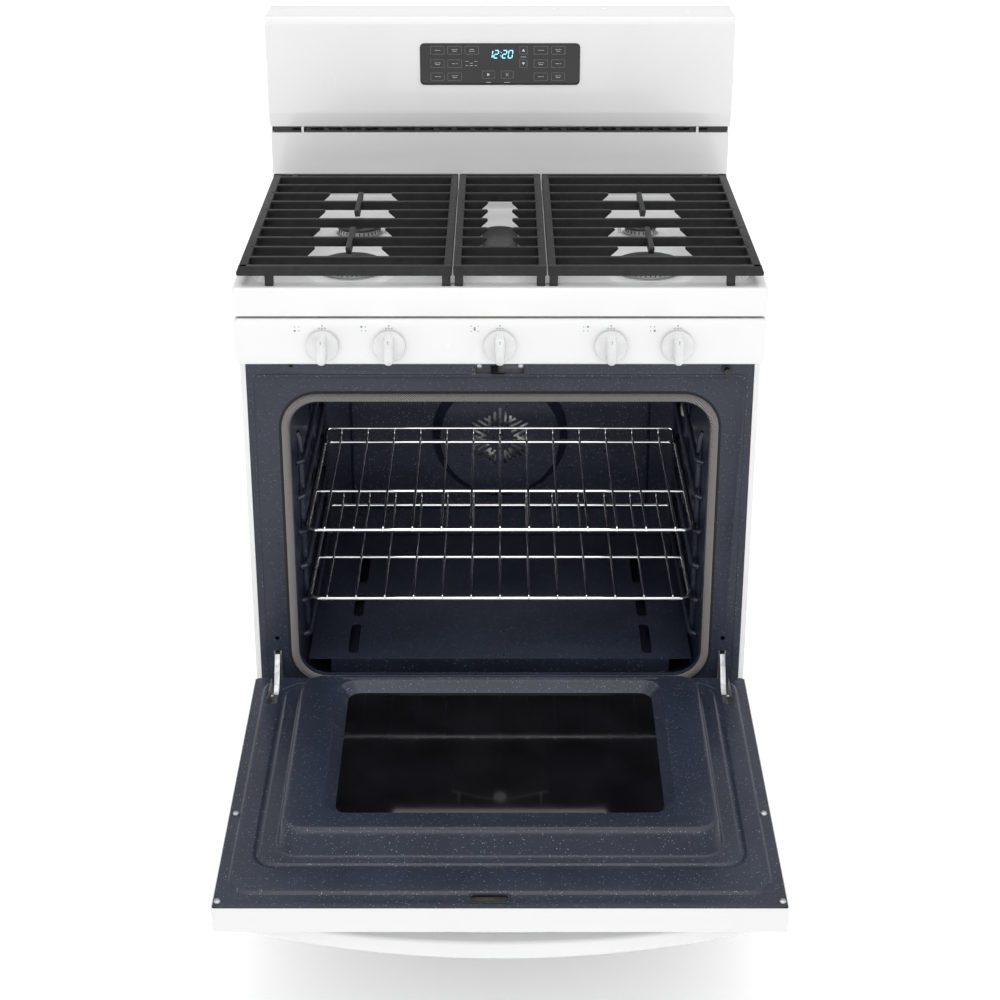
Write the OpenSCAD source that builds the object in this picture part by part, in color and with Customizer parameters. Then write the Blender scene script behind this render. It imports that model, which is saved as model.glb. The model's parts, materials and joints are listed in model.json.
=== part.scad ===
// Freestanding gas range, 30 inch class, drawn with the oven door open.
// Frame: X across the width, front faces -Y, Z up, floor at Z = 0, millimetres.

/* [Overall] */
// overall width of the body
body_w = 759; // [620:1:940]
// height of the cooktop rim above the floor
cook_h = 914; // [860:1:980]
// height of the backguard above the cooktop rim
guard_h = 277; // [240:1:360]
// depth from the control panel face to the rear sheet
body_d = 650; // [600:1:760]

/* [Control panel] */
// height of the cooktop's front apron
apron_h = 42; // [30:1:60]
// height of the knob panel
panel_h = 70; // [60:1:90]
// radius of the knob skirt
knob_r = 23.5; // [18:0.5:28]
// how far the grip stands out from the skirt
grip_d = 26; // [16:1:36]
// distance of the inner knobs from the centre
knob_x1 = 158; // [120:1:190]
// distance of the outer knobs from the centre
knob_x2 = 253; // [215:1:300]

/* [Oven] */
// margin between the side of the body and the oven mouth
mouth_margin = 69.5; // [64:0.5:100]
// corner radius of the oven mouth
mouth_r = 42; // [20:1:60]
// depth of the oven cavity
oven_d = 493; // [400:1:520]
// vertical distance between the two racks
rack_pitch = 117.5; // [60:0.5:160]
// radius of the rack's long wires
rack_wire = 2; // [1.5:0.1:3]

/* [Door] */
// thickness of the oven door
door_t = 41; // [36:1:60]
// how far the door stands open at rest
door_open = 94; // [80:1:96]
// how far the handle's bow stands out
handle_d = 52; // [35:1:70]

/* [Drawer] */
// height of the storage drawer's front
drawer_h = 150; // [100:1:160]
// finger gap above the drawer front
finger_gap = 28; // [24:1:40]

/* [Cooktop] */
// depth of the cooktop well
well_d = 26; // [12:0.5:28]
// height of the grate tops above the rim
grate_h = 29; // [24:1:45]
// width of a grate bar
bar_w = 8; // [6:0.5:12]
// radius of the front right burner head, the others follow it
burner_r = 50; // [44:1:54]

/* [Fits] */
// clearance between pieces that move apart
gap = 0.4; // [0.3:0.05:1]
// running fit, radial, of a shaft in its bore
run_fit = 0.05; // [0.02:0.01:0.1]
// thickness of the sheet metal
sheet = 1.5; // [1:0.1:2.5]

/* [Hidden] */
$fn = 48;
hw = body_w / 2;
back_h = cook_h + guard_h;
y_f = -50;
y_r = y_f + body_d;
leg_h = 30;
z_ap = cook_h - apron_h;
z_pt = z_ap - 3;
z_pb = z_pt - panel_h;
z_dt = z_pb - 5;
z_dr0 = 62;
z_dr1 = z_dr0 + drawer_h;
z_db = z_dr1 + finger_gap;
mx = hw - mouth_margin;
mz0 = z_db + 28;
mz1 = z_dt - 71;
mzc = (mz0 + mz1) / 2;
fl_z = mz0 - 18;
cav_y = oven_d + 2;
door_yi = -9;
door_yo = door_yi - door_t;
piv_y = door_yo + 12;
piv_z = z_db + 10;
arm_x = hw - 34.5;
win_x = mx - 82;
win_z0 = mz0 + 42;
win_z1 = win_z0 + (mz1 - mz0) * 0.666;
plug_x = mx - 12;
plug_z1 = mz1 - 60;
fan_z = mz0 + 209;
lamp_y = cav_y - 160;
lamp_z = mz0 + 316;
rack_z = mz0 + 107.5;
rack_x = mx - 10;
rack_y0 = 50;
rack_y1 = cav_y - 85;
y_bg = y_r - 95;
g_y0 = y_f + 8;
g_y1 = y_bg - 37;
g_yr = g_y1 - 20;
g_p = (g_yr - g_y0) / 10;
g_z1 = cook_h + grate_h;
g_z0 = g_z1 - 14;
g_in = 68;
g_out = hw - 7;
bx = (g_in + g_out) / 2;
by_f = g_yr - 7 * g_p;
by_r = g_yr - 3 * g_p;
by_c = g_yr - 5 * g_p;
well_z = cook_h - well_d;
k_z = z_pb + 30;
bg_z0 = back_h - 179;
bg_x = hw - 2;
hook_z = z_dt - 20;
sw_x = mx + 21;
y_low = piv_y - (z_dt - piv_z) * sin(door_open)
  + min((door_yo - piv_y) * cos(door_open), (door_yi - 1.5 - piv_y) * cos(door_open));
y_mid = -(y_r + y_low) / 2;

// ---------- helpers ----------
module rrect(w, h, r) {
  square([w - 2 * r, h], center = true);
  if (h > 2 * r) square([w, h - 2 * r], center = true);
  for (sx = [-1, 1], sy = [-1, 1])
    translate([sx * (w / 2 - r), sy * (h / 2 - r)]) circle(r = r);
}
module rbox(x, z0, z1, r) {
  translate([0, (z0 + z1) / 2]) rrect(2 * x, z1 - z0, r);
}
module ext_y(y0, y1) {
  translate([0, y1, 0]) rotate([90, 0, 0]) linear_extrude(y1 - y0) children();
}
module ext_x(x0, x1) {
  translate([x0, 0, 0]) rotate([90, 0, 90]) linear_extrude(x1 - x0) children();
}
module box(x0, x1, y0, y1, z0, z1) {
  translate([x0, y0, z0]) cube([x1 - x0, y1 - y0, z1 - z0]);
}
module cyl_y(r, y0, y1) {
  translate([0, y1, 0]) rotate([90, 0, 0]) cylinder(r = r, h = y1 - y0);
}
module cyl_x(r, x0, x1) {
  translate([x0, 0, 0]) rotate([0, 90, 0]) cylinder(r = r, h = x1 - x0);
}
module both() {
  children();
  mirror([1, 0, 0]) children();
}
module placed() {
  // puts the middle of the outline, door open, over Y = 0
  translate([0, y_mid, 0]) children();
}
module opened() {
  translate([0, piv_y, piv_z]) rotate([door_open, 0, 0]) translate([0, -piv_y, -piv_z])
    children();
}

// ---------- chassis ----------
module side_sheet() {
  box(hw - sheet, hw, 0, y_r, leg_h, z_ap - 1);
  box(hw - 8, hw - sheet, 0, sheet, leg_h, z_pb);
  box(hw - 20, hw - sheet, y_r - sheet, y_r, leg_h, z_ap - 1);
  box(hw - 20, hw - sheet, 60, y_r - 40, z_ap - 1 - sheet, z_ap - 1);
}
module side_panel_right() {
  color("white") placed() side_sheet();
}
module side_panel_left() {
  color("white") placed() mirror([1, 0, 0]) side_sheet();
}
module rear_cover() {
  color("silver") placed() difference() {
    union() {
      box(-hw + 21, hw - 21, y_r - sheet, y_r, leg_h + 30, z_ap - 1);
      both() box(hw - 23, hw - 21, y_r - 12, y_r - sheet, leg_h + 30, z_ap - 1);
    }
    for (i = [0:6], sx = [-1, 1])
      ext_y(y_r - 3, y_r + 1) translate([sx * 190, z_ap - 130 - i * 16]) rrect(120, 6, 3);
    ext_y(y_r - 3, y_r + 1) translate([mx - 10, k_z + 5]) circle(r = 13);
  }
}
module base_frame() {
  color("dimgray") placed() difference() {
    union() {
      both() {
        box(hw - 36, hw - sheet, sheet, y_r - 6, leg_h, leg_h + 2);
        box(hw - sheet - 2, hw - sheet, sheet, y_r - 6, leg_h + 2, leg_h + 30);
      }
      box(-hw + 36, hw - 36, 0, 26, leg_h, leg_h + 2);
      box(-hw + 36, hw - 36, 0, 2, leg_h + 2, leg_h + 24);
      box(-hw + 36, hw - 36, y_r - 34, y_r - 6, leg_h, leg_h + 2);
      box(-hw + 36, hw - 36, y_r - 8, y_r - 6, leg_h + 2, leg_h + 26);
    }
    for (y = [22, y_r - 24]) both() translate([hw - 20, y, leg_h - 1]) cylinder(r = 4.3, h = 5);
  }
}
module levelling_legs() {
  color("black") placed() for (y = [22, y_r - 24]) both() translate([hw - 20, y, 0]) {
    cylinder(r = 16, h = 4);
    translate([0, 0, 4]) cylinder(r1 = 16, r2 = 9, h = 5);
    translate([0, 0, 9]) cylinder(r = 4, h = leg_h + 12);
    translate([0, 0, leg_h - 8]) cylinder(r = 8, h = 8, $fn = 6);
  }
}
module drawer_rails() {
  color("silver") placed() both() difference() {
    union() {
      box(hw - 37, hw - sheet, 8, y_r - 40, z_dr0 + 30, z_dr0 + 32);
      box(hw - sheet - 2, hw - sheet, 8, y_r - 40, z_dr0 + 32, z_dr0 + 62);
    }
    for (i = [0:5]) translate([hw - 12, 60 + i * 90, z_dr0 + 29]) cylinder(r = 4, h = 5);
  }
}
module drawer_front() {
  color("white") placed() difference() {
    box(-hw + 3, hw - 3, y_f + 2, -4, z_dr0, z_dr1);
    box(-hw + 3 + sheet, hw - 3 - sheet, y_f + 2 + sheet, -3, z_dr0 + sheet, z_dr1 - sheet);
  }
}
module drawer_box() {
  dz0 = z_dr0 + 8;
  dz1 = z_dr1 - 34;
  dx = hw - 39.5;
  color("gray") placed() {
    difference() {
      box(-dx, dx, -4, y_r - 60, dz0, dz1);
      box(-dx + sheet, dx - sheet, -4 + sheet, y_r - 60 - sheet, dz0 + sheet, dz1 + 1);
    }
    both() box(dx, dx + 12, 12, y_r - 64, z_dr0 + 32 + gap, z_dr0 + 36);
  }
}
module hinge_slot() {
  box(arm_x - 8, arm_x + 8, door_yo + 3, 40, z_db - 4, piv_z + 68);
}
module oven_front_frame() {
  fx = hw - 8.4;
  color("midnightblue") placed() {
    difference() {
      union() {
        box(-fx, fx, 0, 2, z_dr1 + 4, z_pt - 3);
        ext_y(-1, 0) difference() {
          rbox(fx - 7, z_dr1 + 16, z_pb - 33, 16);
          rbox(fx - 10, z_dr1 + 19, z_pb - 36, 13);
        }
        both() box(fx - 1.5, fx, 2, 16, z_dr1 + 4, z_pt - 3);
      }
      ext_y(-2, 3) rbox(mx, mz0, mz1, mouth_r);
      both() box(arm_x - 6, arm_x + 6, -1, 3, mz0 - 10, mz0 + 42);
      ext_y(-2, 3) translate([0, hook_z]) square([70, 12], center = true);
      both() ext_y(-2, 3) translate([mx + 34.5, mz0 + 64]) circle(r = 3.5);
      ext_y(-2, 3) translate([-mx + 5, hook_z + 6]) circle(r = 3);
      ext_y(-2, 3) translate([sw_x, hook_z]) circle(r = 3 + gap + 0.2);
      ext_y(-2, 3) translate([mx - 10, k_z + 5]) circle(r = 10);
    }
  }
}
module oven_cavity() {
  color("midnightblue") placed() {
    difference() {
      ext_y(2, cav_y) rbox(mx + sheet, fl_z - sheet, mz1 + sheet, mouth_r + sheet);
      ext_y(1, cav_y - sheet) rbox(mx, fl_z, mz1, mouth_r);
      translate([0, 0, fan_z]) cyl_y(6, cav_y - 3, cav_y + 1);
      translate([0, lamp_y, lamp_z]) cyl_x(17 + gap, mx - 2, mx + 3);
    }
    for (i = [0:5]) both()
      box(mx - 15, mx + 0.5, 60, cav_y - 30, rack_z - 62.75 + i * rack_pitch / 2 - 4,
        rack_z - 62.75 + i * rack_pitch / 2);
    ext_y(cav_y - sheet - 2, cav_y - sheet + 0.5) difference() {
      rbox(mx - 50, mz0 + 64, mz1 - 60, 16);
      rbox(mx - 54, mz0 + 68, mz1 - 64, 12);
    }
  }
}
module oven_bottom_panel() {
  pz = fl_z + 32;
  color("midnightblue") placed() {
    difference() {
      union() {
        box(-mx + 10, mx - 10, 25, cav_y - 12, pz, pz + sheet);
        both() box(mx - 11.5, mx - 10, 25, cav_y - 12, pz - 8, pz);
        box(-mx + 45, mx - 45, 25, 25 + sheet, fl_z, pz);
        box(-mx + 45, mx - 45, cav_y - 12 - sheet, cav_y - 12, fl_z, pz);
        both() translate([mx * 0.503, cav_y - 76, pz]) cylinder(r = 9, h = 3.5);
      }
      for (r = [[43, 142], [170, 249], [295, 400]]) both()
        translate([mx - 78, (r[0] + r[1]) / 2, pz - 1]) linear_extrude(4)
          rrect(16, r[1] - r[0], 7.5);
    }
  }
}
module bake_burner() {
  color("silver") placed() {
    both() translate([mx - 130, 60, fl_z + 15]) cyl_y(8, 0, cav_y - 120);
    translate([0, 60, fl_z + 15]) cyl_x(8, -mx + 130, mx - 130);
    translate([0, cav_y - 60, fl_z + 15]) cyl_x(8, -mx + 130, mx - 130);
    both() box(mx - 134, mx - 126, 80, 100, fl_z, fl_z + 9);
    both() box(mx - 134, mx - 126, cav_y - 100, cav_y - 80, fl_z, fl_z + 9);
  }
}
module broil_burner() {
  bz = mz1 - 30;
  color("silver") placed() {
    translate([0, 0, bz]) cyl_y(11, 135, cav_y - sheet);
    for (a = [-1, 1]) translate([0, 0, bz + 12]) rotate([0, a * 14, 0])
      box(a > 0 ? 0 : -85, a > 0 ? 85 : 0, 140, cav_y - 60, 0, sheet);
    both() box(70, 72, 150, 170, bz - 2, mz1);
    both() box(70, 72, cav_y - 120, cav_y - 100, bz - 2, mz1);
  }
}
module fan_cover() {
  y1 = cav_y - sheet;
  color("midnightblue") placed() difference() {
    translate([0, y1, fan_z]) rotate([90, 0, 0]) {
      cylinder(r = 117, h = 8);
      translate([0, 0, 8]) cylinder(r1 = 117, r2 = 103, h = 20);
    }
    translate([0, y1, fan_z]) rotate([90, 0, 0]) {
      translate([0, 0, -1]) cylinder(r = 115, h = 9);
      translate([0, 0, 8]) cylinder(r1 = 115, r2 = 102, h = 18);
    }
    translate([0, 0, fan_z]) for (k = [0:5]) rotate([0, k * 60, 0]) for (j = [-2:2])
      translate([j * 9, 0, 22]) ext_y(y1 - 32, y1 - 22) translate([0, 17 - abs(j) * 3.5])
        rrect(4.4, 34 - abs(j) * 7, 2.1);
    translate([0, 0, fan_z]) for (k = [0:5]) rotate([0, k * 60 + 30, 0])
      translate([0, 0, 9]) cyl_y(2.2, y1 - 32, y1 - 22);
  }
}
module convection_fan() {
  y1 = cav_y - sheet;
  color("silver") placed() translate([0, 0, fan_z]) {
    cyl_y(4, y1 - 19, y1 + 40);
    difference() {
      cyl_y(88, y1 - 6, y1 - 4.5);
      cyl_y(3, y1 - 7, y1 - 3);
    }
    cyl_y(14, y1 - 16, y1 - 4.5);
    for (k = [0:9]) rotate([0, k * 36, 0]) rotate([0, 12, 0])
      box(-1, 1, y1 - 19, y1 - 5, 34, 86);
  }
}
module fan_motor() {
  color("silver") placed() translate([0, 0, fan_z]) difference() {
    union() {
      cyl_y(44, cav_y, cav_y + 3);
      cyl_y(34, cav_y + 3, cav_y + 52);
      box(-60, 60, cav_y, cav_y + 3, -12, 12);
    }
    cyl_y(4 + run_fit, cav_y - 1, cav_y + 46);
  }
}
module oven_lamp() {
  color("lightyellow") placed() translate([0, lamp_y, lamp_z]) {
    cyl_x(17, mx - 4, mx + 3);
    translate([mx - 4, 0, 0]) rotate([0, -90, 0]) cylinder(r1 = 17, r2 = 12, h = 7);
    cyl_x(13, mx + 3, mx + 20);
  }
}
module oven_insulation() {
  color("khaki") placed() difference() {
    box(-mx - 24, mx + 24, 4, cav_y + 46, fl_z - 14, mz1 + 38);
    ext_y(3, cav_y + 0.2) rbox(mx + sheet + 0.2, fl_z - sheet - 0.2, mz1 + sheet + 0.2, mouth_r + sheet);
    translate([0, 0, fan_z]) cyl_y(46, cav_y - 1, cav_y + 60);
    box(-62, 62, cav_y - 1, cav_y + 60, fan_z - 13, fan_z + 13);
    translate([0, lamp_y, lamp_z]) cyl_x(24, mx, mx + 30);
  }
}
module door_gasket() {
  color("rosybrown") placed() ext_y(-5.6, 0) difference() {
    rbox(mx + 13, mz0 - 12.5, mz1 + 13, mouth_r + 13);
    rbox(mx + 1.5, mz0 - 1.5, mz1 + 1.5, mouth_r + 1.5);
  }
}
module latch_plate() {
  color("silver") placed() {
    difference() {
      box(-46, 46, 2, 36, hook_z - 11, hook_z + 11);
      box(-42, 42, 1, 34, hook_z - 6, hook_z + 6);
    }
    translate([-8, 22, hook_z - 6]) cylinder(r = 3, h = 12);
  }
}
module latch_hook() {
  color("black") placed() translate([0, 0, hook_z - 2]) linear_extrude(4) difference() {
    union() {
      translate([-8, 22]) circle(r = 8);
      translate([-13, -22]) square([10, 44]);
      translate([-13, -26]) square([20, 7]);
    }
    translate([-8, 22]) circle(r = 3 + run_fit);
  }
}
module door_switch_body() {
  color("black") placed() translate([sw_x, 0, hook_z]) difference() {
    union() {
      box(-9, 9, 2, 30, -12, 12);
    }
    cyl_y(3 + run_fit, 1, 26);
  }
}
module door_switch_plunger() {
  color("black") placed() translate([sw_x, 0, hook_z]) {
    cyl_y(3, -14.6, 19);
    cyl_y(5, -14.6, -12.6);
  }
}
module hinge_arms() {
  color("silver") placed() both() {
    difference() {
      ext_x(arm_x - 4, arm_x + 4) polygon([
        [piv_y - 8, piv_z - 6], [piv_y + 6, piv_z - 8], [2, mz0 - 8], [70, mz0 - 8],
        [70, mz0 + 38], [-4, mz0 + 38], [piv_y + 4, piv_z + 14], [piv_y - 8, piv_z + 8]]);
      translate([0, piv_y, piv_z]) cyl_x(4 + run_fit, arm_x - 5, arm_x + 5);
    }
    box(arm_x - 7, arm_x - 4, 2, 90, mz0 - 12, mz0 + 46);
    box(arm_x + 4, arm_x + 7, 2, 90, mz0 - 12, mz0 + 46);
  }
}

// ---------- gas system and cooktop ----------
module manifold_panel() {
  color("white") placed() difference() {
    ext_y(y_f, -0.5) rbox(hw, z_pb, z_pt, 8);
    ext_y(y_f + sheet, 1) rbox(hw - sheet, z_pb + sheet, z_pt - sheet, 6.5);
    for (x = [-knob_x2, -knob_x1, 0, knob_x1, knob_x2])
      translate([x, 0, k_z]) cyl_y(8, y_f - 1, y_f + 3);
  }
}
module gas_manifold() {
  color("gold") placed() difference() {
    union() {
      translate([0, -14, k_z]) cyl_x(9, -knob_x2 - 40, mx + 14);
      translate([mx - 10, 0, k_z + 5]) cyl_y(7.5, -14, y_r - 50);
      translate([mx - 10, 0, k_z + 5]) cyl_y(17, y_r - 50, y_r - 14);
      translate([mx - 10, 0, k_z + 5]) cyl_y(11, y_r - 14, y_r - 1);
    }
    translate([mx - 10, 0, k_z + 5]) cyl_y(7, y_r - 30, y_r);
  }
}
module gas_valves() {
  color("gold") placed() for (x = [-knob_x2, -knob_x1, 0, knob_x1, knob_x2]) translate([x, 0, k_z]) {
    difference() {
      box(-10, 10, y_f + 9, -22.9, -11, 11);
      cyl_y(4 + run_fit, y_f + 8, -27);
      translate([0, -14, 0]) cyl_x(9, -11, 11);
    }
    box(-4, 4, -36, -28, 11, 24);
  }
}
module burner_tubes() {
  tz = well_z - 20;
  color("silver") placed() {
    for (b = [[bx - 10, by_f], [bx + 28, by_r]]) both() {
      translate([b[0], 0, tz]) cyl_y(7, 6, b[1]);
      translate([b[0], 0, tz]) cyl_y(11, 6, 30);
    }
    translate([0, 0, tz]) cyl_y(7, 6, by_c);
    translate([0, 0, tz]) cyl_y(11, 6, 30);
    for (b = [[by_f, 20], [by_r, 30]]) both()
      translate([bx, b[0], tz - 9]) cylinder(r = b[1], h = 19);
    translate([0, by_c, tz - 9]) cylinder(r = 24, h = 19);
  }
}
module oval(r, l) {
  for (s = [-1, 1]) translate([0, s * (l / 2 - r)]) circle(r = r);
  square([2 * r, l - 2 * r], center = true);
}
module cooktop() {
  color("white") placed() difference() {
    union() {
      difference() {
        box(-hw, hw, y_f, y_bg - 1.5, z_ap, cook_h);
        box(-hw + sheet, hw - sheet, y_f + sheet, y_bg, z_ap - 1, cook_h - sheet);
      }
      translate([0, (y_f + y_bg) / 2 - 17, well_z - sheet]) linear_extrude(well_d)
        rrect(body_w - 45, y_bg - y_f - 87, 34);
    }
    translate([0, (y_f + y_bg) / 2 - 17, well_z]) linear_extrude(well_d + 1)
      rrect(body_w - 48, y_bg - y_f - 90, 32.5);
    for (b = [[bx, by_f], [bx, by_r]]) both()
      translate([b[0], b[1], well_z - 5]) cylinder(r = 20, h = 8);
    translate([0, by_c, well_z - 5]) cylinder(r = 16, h = 8);
  }
}
module head(r) {
  translate([0, 0, well_z]) cylinder(r = r, h = 4);
  translate([0, 0, well_z + 4]) cylinder(r1 = r - 3, r2 = r - 6, h = 8);
  translate([0, 0, well_z - 10]) cylinder(r = 19, h = 10);
}
module burner_heads() {
  color("silver") placed() {
    translate([bx, by_f, 0]) head(burner_r);
    translate([bx, by_r, 0]) head(burner_r - 22);
    translate([-bx, by_f, 0]) head(burner_r - 2);
    translate([-bx, by_r, 0]) head(burner_r - 13);
    translate([0, by_c, well_z]) linear_extrude(4) oval(30, 178);
    translate([0, by_c, well_z + 4]) linear_extrude(8) oval(26, 168);
    translate([0, by_c, well_z - 10]) cylinder(r = 15, h = 10);
  }
}
module cap(r) {
  translate([0, 0, well_z + 12]) cylinder(r = r - 2, h = 4);
  translate([0, 0, well_z + 16]) cylinder(r1 = r - 2, r2 = r - 6, h = 3);
}
module burner_caps() {
  color("black") placed() {
    translate([bx, by_f, 0]) cap(burner_r);
    translate([bx, by_r, 0]) cap(burner_r - 22);
    translate([-bx, by_f, 0]) cap(burner_r - 2);
    translate([-bx, by_r, 0]) cap(burner_r - 13);
    translate([0, by_c, well_z + 12]) linear_extrude(4) oval(28, 172);
    translate([0, by_c, well_z + 16]) linear_extrude(2.5) oval(25, 166);
  }
}
module spark_electrodes() {
  color("white") placed() {
    translate([bx - burner_r - 5, by_f, well_z]) cylinder(r = 2.6, h = 14);
    translate([bx - burner_r + 17, by_r, well_z]) cylinder(r = 2.6, h = 14);
    translate([-bx + burner_r + 3, by_f, well_z]) cylinder(r = 2.6, h = 14);
    translate([-bx + burner_r - 8, by_r, well_z]) cylinder(r = 2.6, h = 14);
    translate([0, by_c - 95, well_z]) cylinder(r = 2.6, h = 14);
  }
}
module finger(x0, x1, y) {
  // a bar along X from x0 towards a slanted end at x1
  s = x1 > x0 ? 1 : -1;
  translate([0, y + bar_w / 2, 0]) rotate([90, 0, 0]) linear_extrude(bar_w)
    polygon([[x0, g_z0], [x1 - s * 12, g_z0], [x1, g_z1 - 3], [x1 - s * 2, g_z1], [x0, g_z1]]);
}
module grate_feet(xa, xb) {
  for (x = [xa, xb], y = [g_y0, g_y1 - 12])
    box(x - 6, x + 6, y, y + 12, cook_h + gap, g_z0);
}
module side_grate() {
  m = (g_in + g_out) / 2;
  difference() {
    box(g_in, g_out, g_y0, g_y1, g_z0, g_z1);
    box(g_in + 11, g_out - 16, g_y0 + 11, g_y1 - 11, g_z0 - 1, g_z1 + 1);
  }
  box(g_out - 42, g_out - 34, g_yr, g_y1 - 10, g_z0, g_z1);
  for (i = [0, 1, 3, 5, 7, 9])
    box(g_in + 10, g_out - 15, g_yr - i * g_p - bar_w / 2, g_yr - i * g_p + bar_w / 2, g_z0, g_z1);
  for (i = [2, 4, 6, 8]) {
    finger(g_in + 10, m - 48, g_yr - i * g_p);
    finger(g_out - 15, m + 48, g_yr - i * g_p);
  }
  for (i = [3, 7]) translate([m, g_yr - i * g_p, 0]) ext_x(-bar_w / 2, bar_w / 2)
    polygon([[-40, g_z0], [40, g_z0], [56, g_z1 - 3], [54, g_z1], [-54, g_z1], [-56, g_z1 - 3]]);
  grate_feet(g_in + 8, g_out - 46);
}
module grate_right() {
  color("black") placed() side_grate();
}
module grate_left() {
  color("black") placed() mirror([1, 0, 0]) side_grate();
}
module grate_center() {
  c = g_in - 2;
  color("black") placed() {
    difference() {
      box(-c, c, g_y0, g_y1, g_z0, g_z1);
      box(-c + 11, c - 11, g_y0 + 11, g_y1 - 11, g_z0 - 1, g_z1 + 1);
    }
    for (i = [0, 1, 2, 8, 9])
      box(-c + 10, c - 10, g_yr - i * g_p - bar_w / 2, g_yr - i * g_p + bar_w / 2, g_z0, g_z1);
    for (i = [3:7]) {
      finger(-c + 10, -18, g_yr - i * g_p);
      finger(c - 10, 18, g_yr - i * g_p);
    }
    grate_feet(-c + 8, c - 8);
  }
}

// ---------- backguard ----------
module guard_profile(o) {
  polygon([[y_bg - 2 + o, bg_z0 + o], [y_bg - 11 + o, bg_z0 + 25], [y_bg - 11 + o, back_h - 10],
    [y_bg - 4 + o, back_h - o], [y_r - sheet, back_h - o], [y_r - sheet, bg_z0 + o]]);
}
module backguard_upper() {
  color("white") placed() difference() {
    ext_x(-bg_x, bg_x) guard_profile(0);
    ext_x(-bg_x + sheet, bg_x - sheet) guard_profile(sheet);
    box(-bg_x + sheet, bg_x - sheet, y_r - 8, y_r, bg_z0 + sheet, back_h - sheet);
  }
}
module backguard_lower() {
  color("white") placed() {
    difference() {
      box(-bg_x + 2, bg_x - 2, y_bg - 1.5, y_r - sheet - 0.5, z_ap, bg_z0 - 10);
      box(-bg_x + 2 + sheet, bg_x - 2 - sheet, y_bg, y_r, z_ap - 1, bg_z0 - 10 - sheet);
      box(-hw + 30, hw - 30, y_bg + 14, y_r, z_ap, bg_z0);
    }
    for (x = [-hw + 54, hw - 58]) box(x, x + 4, y_bg - 1.5, y_bg + 3, bg_z0 - 10, bg_z0);
    both() box(bg_x - 2 - sheet, bg_x - 2, y_bg + 10, y_r - 2, bg_z0 - 10, bg_z0);
  }
}
module vent_grille() {
  color("black") placed() difference() {
    box(-bg_x + 6, bg_x - 6, y_bg + 4, y_bg + 6, bg_z0 - 10, bg_z0);
    for (i = [-11:11]) box(i * 30 - 11, i * 30 + 11, y_bg + 3, y_bg + 7, bg_z0 - 7, bg_z0 - 3);
  }
}
module backguard_rear() {
  color("silver") placed() difference() {
    union() {
      box(-hw + 2, hw - 2, y_r - sheet, y_r, z_ap, back_h - 3);
      translate([-mx + 10, 0, bg_z0 - 90]) cyl_y(13, y_r - 12, y_r);
    }
    translate([-mx + 10, 0, bg_z0 - 90]) cyl_y(5, y_r - 13, y_r + 1);
    for (i = [0:4], sx = [-1, 1]) ext_y(y_r - 3, y_r + 1)
      translate([sx * 170, back_h - 70 - i * 14]) rrect(100, 5, 2.5);
  }
}
module control_glass() {
  color("black") placed() ext_y(y_bg - 12.8, y_bg - 11) translate([0, back_h - 74.5]) rrect(258, 67, 7);
}
module control_board() {
  color("green") placed() {
    box(-105, 105, y_bg - 11 + sheet, y_bg + 8, back_h - 102, back_h - 47);
    box(-70, -20, y_bg + 8, y_bg + 30, back_h - 95, back_h - 60);
  }
}

// ---------- oven door, drawn closed and then opened ----------
module door_outer_panel() {
  color("white") placed() opened() difference() {
    box(-hw + 1.5, hw - 1.5, door_yo, door_yi - 1.5, z_db, z_dt);
    box(-hw + 1.5 + sheet, hw - 1.5 - sheet, door_yo + sheet, 0, z_db + sheet, z_dt - sheet);
    ext_y(door_yo - 1, door_yo + 3) rbox(win_x + 18, win_z0 + 6, win_z1 + 24, 14);
    both() box(arm_x - 8, arm_x + 8, door_yo + 3, 0, z_db - 1, z_db + 3);
    for (i = [-6:6]) if (abs(i) > 1) box(i * 48 - 16, i * 48 + 16, door_yo + 12, door_yo + 20,
      z_dt - 3, z_dt + 1);
  }
}
module door_liner() {
  lx = hw - 1.5 - sheet - 0.2;
  wr = win_x + 16;
  color("midnightblue") placed() opened() difference() {
    union() {
      difference() {
        union() {
          box(-lx, lx, door_yi - sheet, door_yi, z_db + 2, z_dt - 2);
          ext_y(door_yi, -6) rbox(mx + 50, z_db + 6, z_dt - 30, 33);
          ext_y(-6, 6) rbox(plug_x + 6, mz0 + 10, plug_z1 + 28, 34);
          ext_y(6, 22) rbox(plug_x, mz0 + 14, plug_z1, 30);
          ext_y(21, 24) rbox(win_x + 12, mz0 + 18, mz0 + 24, 2.9);
        }
        ext_y(door_yi - 3, -7.4) rbox(mx + 48.5, z_db + 7.5, z_dt - 31.5, 31.5);
        ext_y(-8, 4.5) rbox(plug_x + 4.5, mz0 + 11.5, plug_z1 + 26.5, 32.5);
        ext_y(4, 20.5) rbox(plug_x - 1.5, mz0 + 15.5, plug_z1 - 1.5, 28.5);
        ext_y(20, 26) rbox(wr, win_z0 - 16, win_z1 + 16, 34);
      }
      difference() {
        ext_y(8, 22) rbox(wr + 1.5, win_z0 - 16, win_z1 + 16 + 1.5, 35.5);
        ext_y(9.5, 26) rbox(wr, win_z0 - 14.5, win_z1 + 16, 34);
        ext_y(7, 10) rbox(win_x, win_z0, win_z1, 20);
      }
    }
    both() hinge_slot();
    ext_y(door_yi - 4, 0) translate([-14, hook_z]) rrect(48, 14, 6);
    ext_y(door_yi - 4, 0) translate([-mx - 40, mz0 + 62]) circle(r = 4);
  }
}
module door_inner_glass() {
  color("black") placed() opened() ext_y(4, 8) rbox(win_x + 10, win_z0 - 10, win_z1 + 10, 26);
}
module door_outer_glass() {
  color("black") placed() opened() ext_y(door_yo + sheet, door_yo + sheet + 3)
    rbox(win_x + 30, win_z0 - 6, win_z1 + 36, 18);
}
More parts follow.
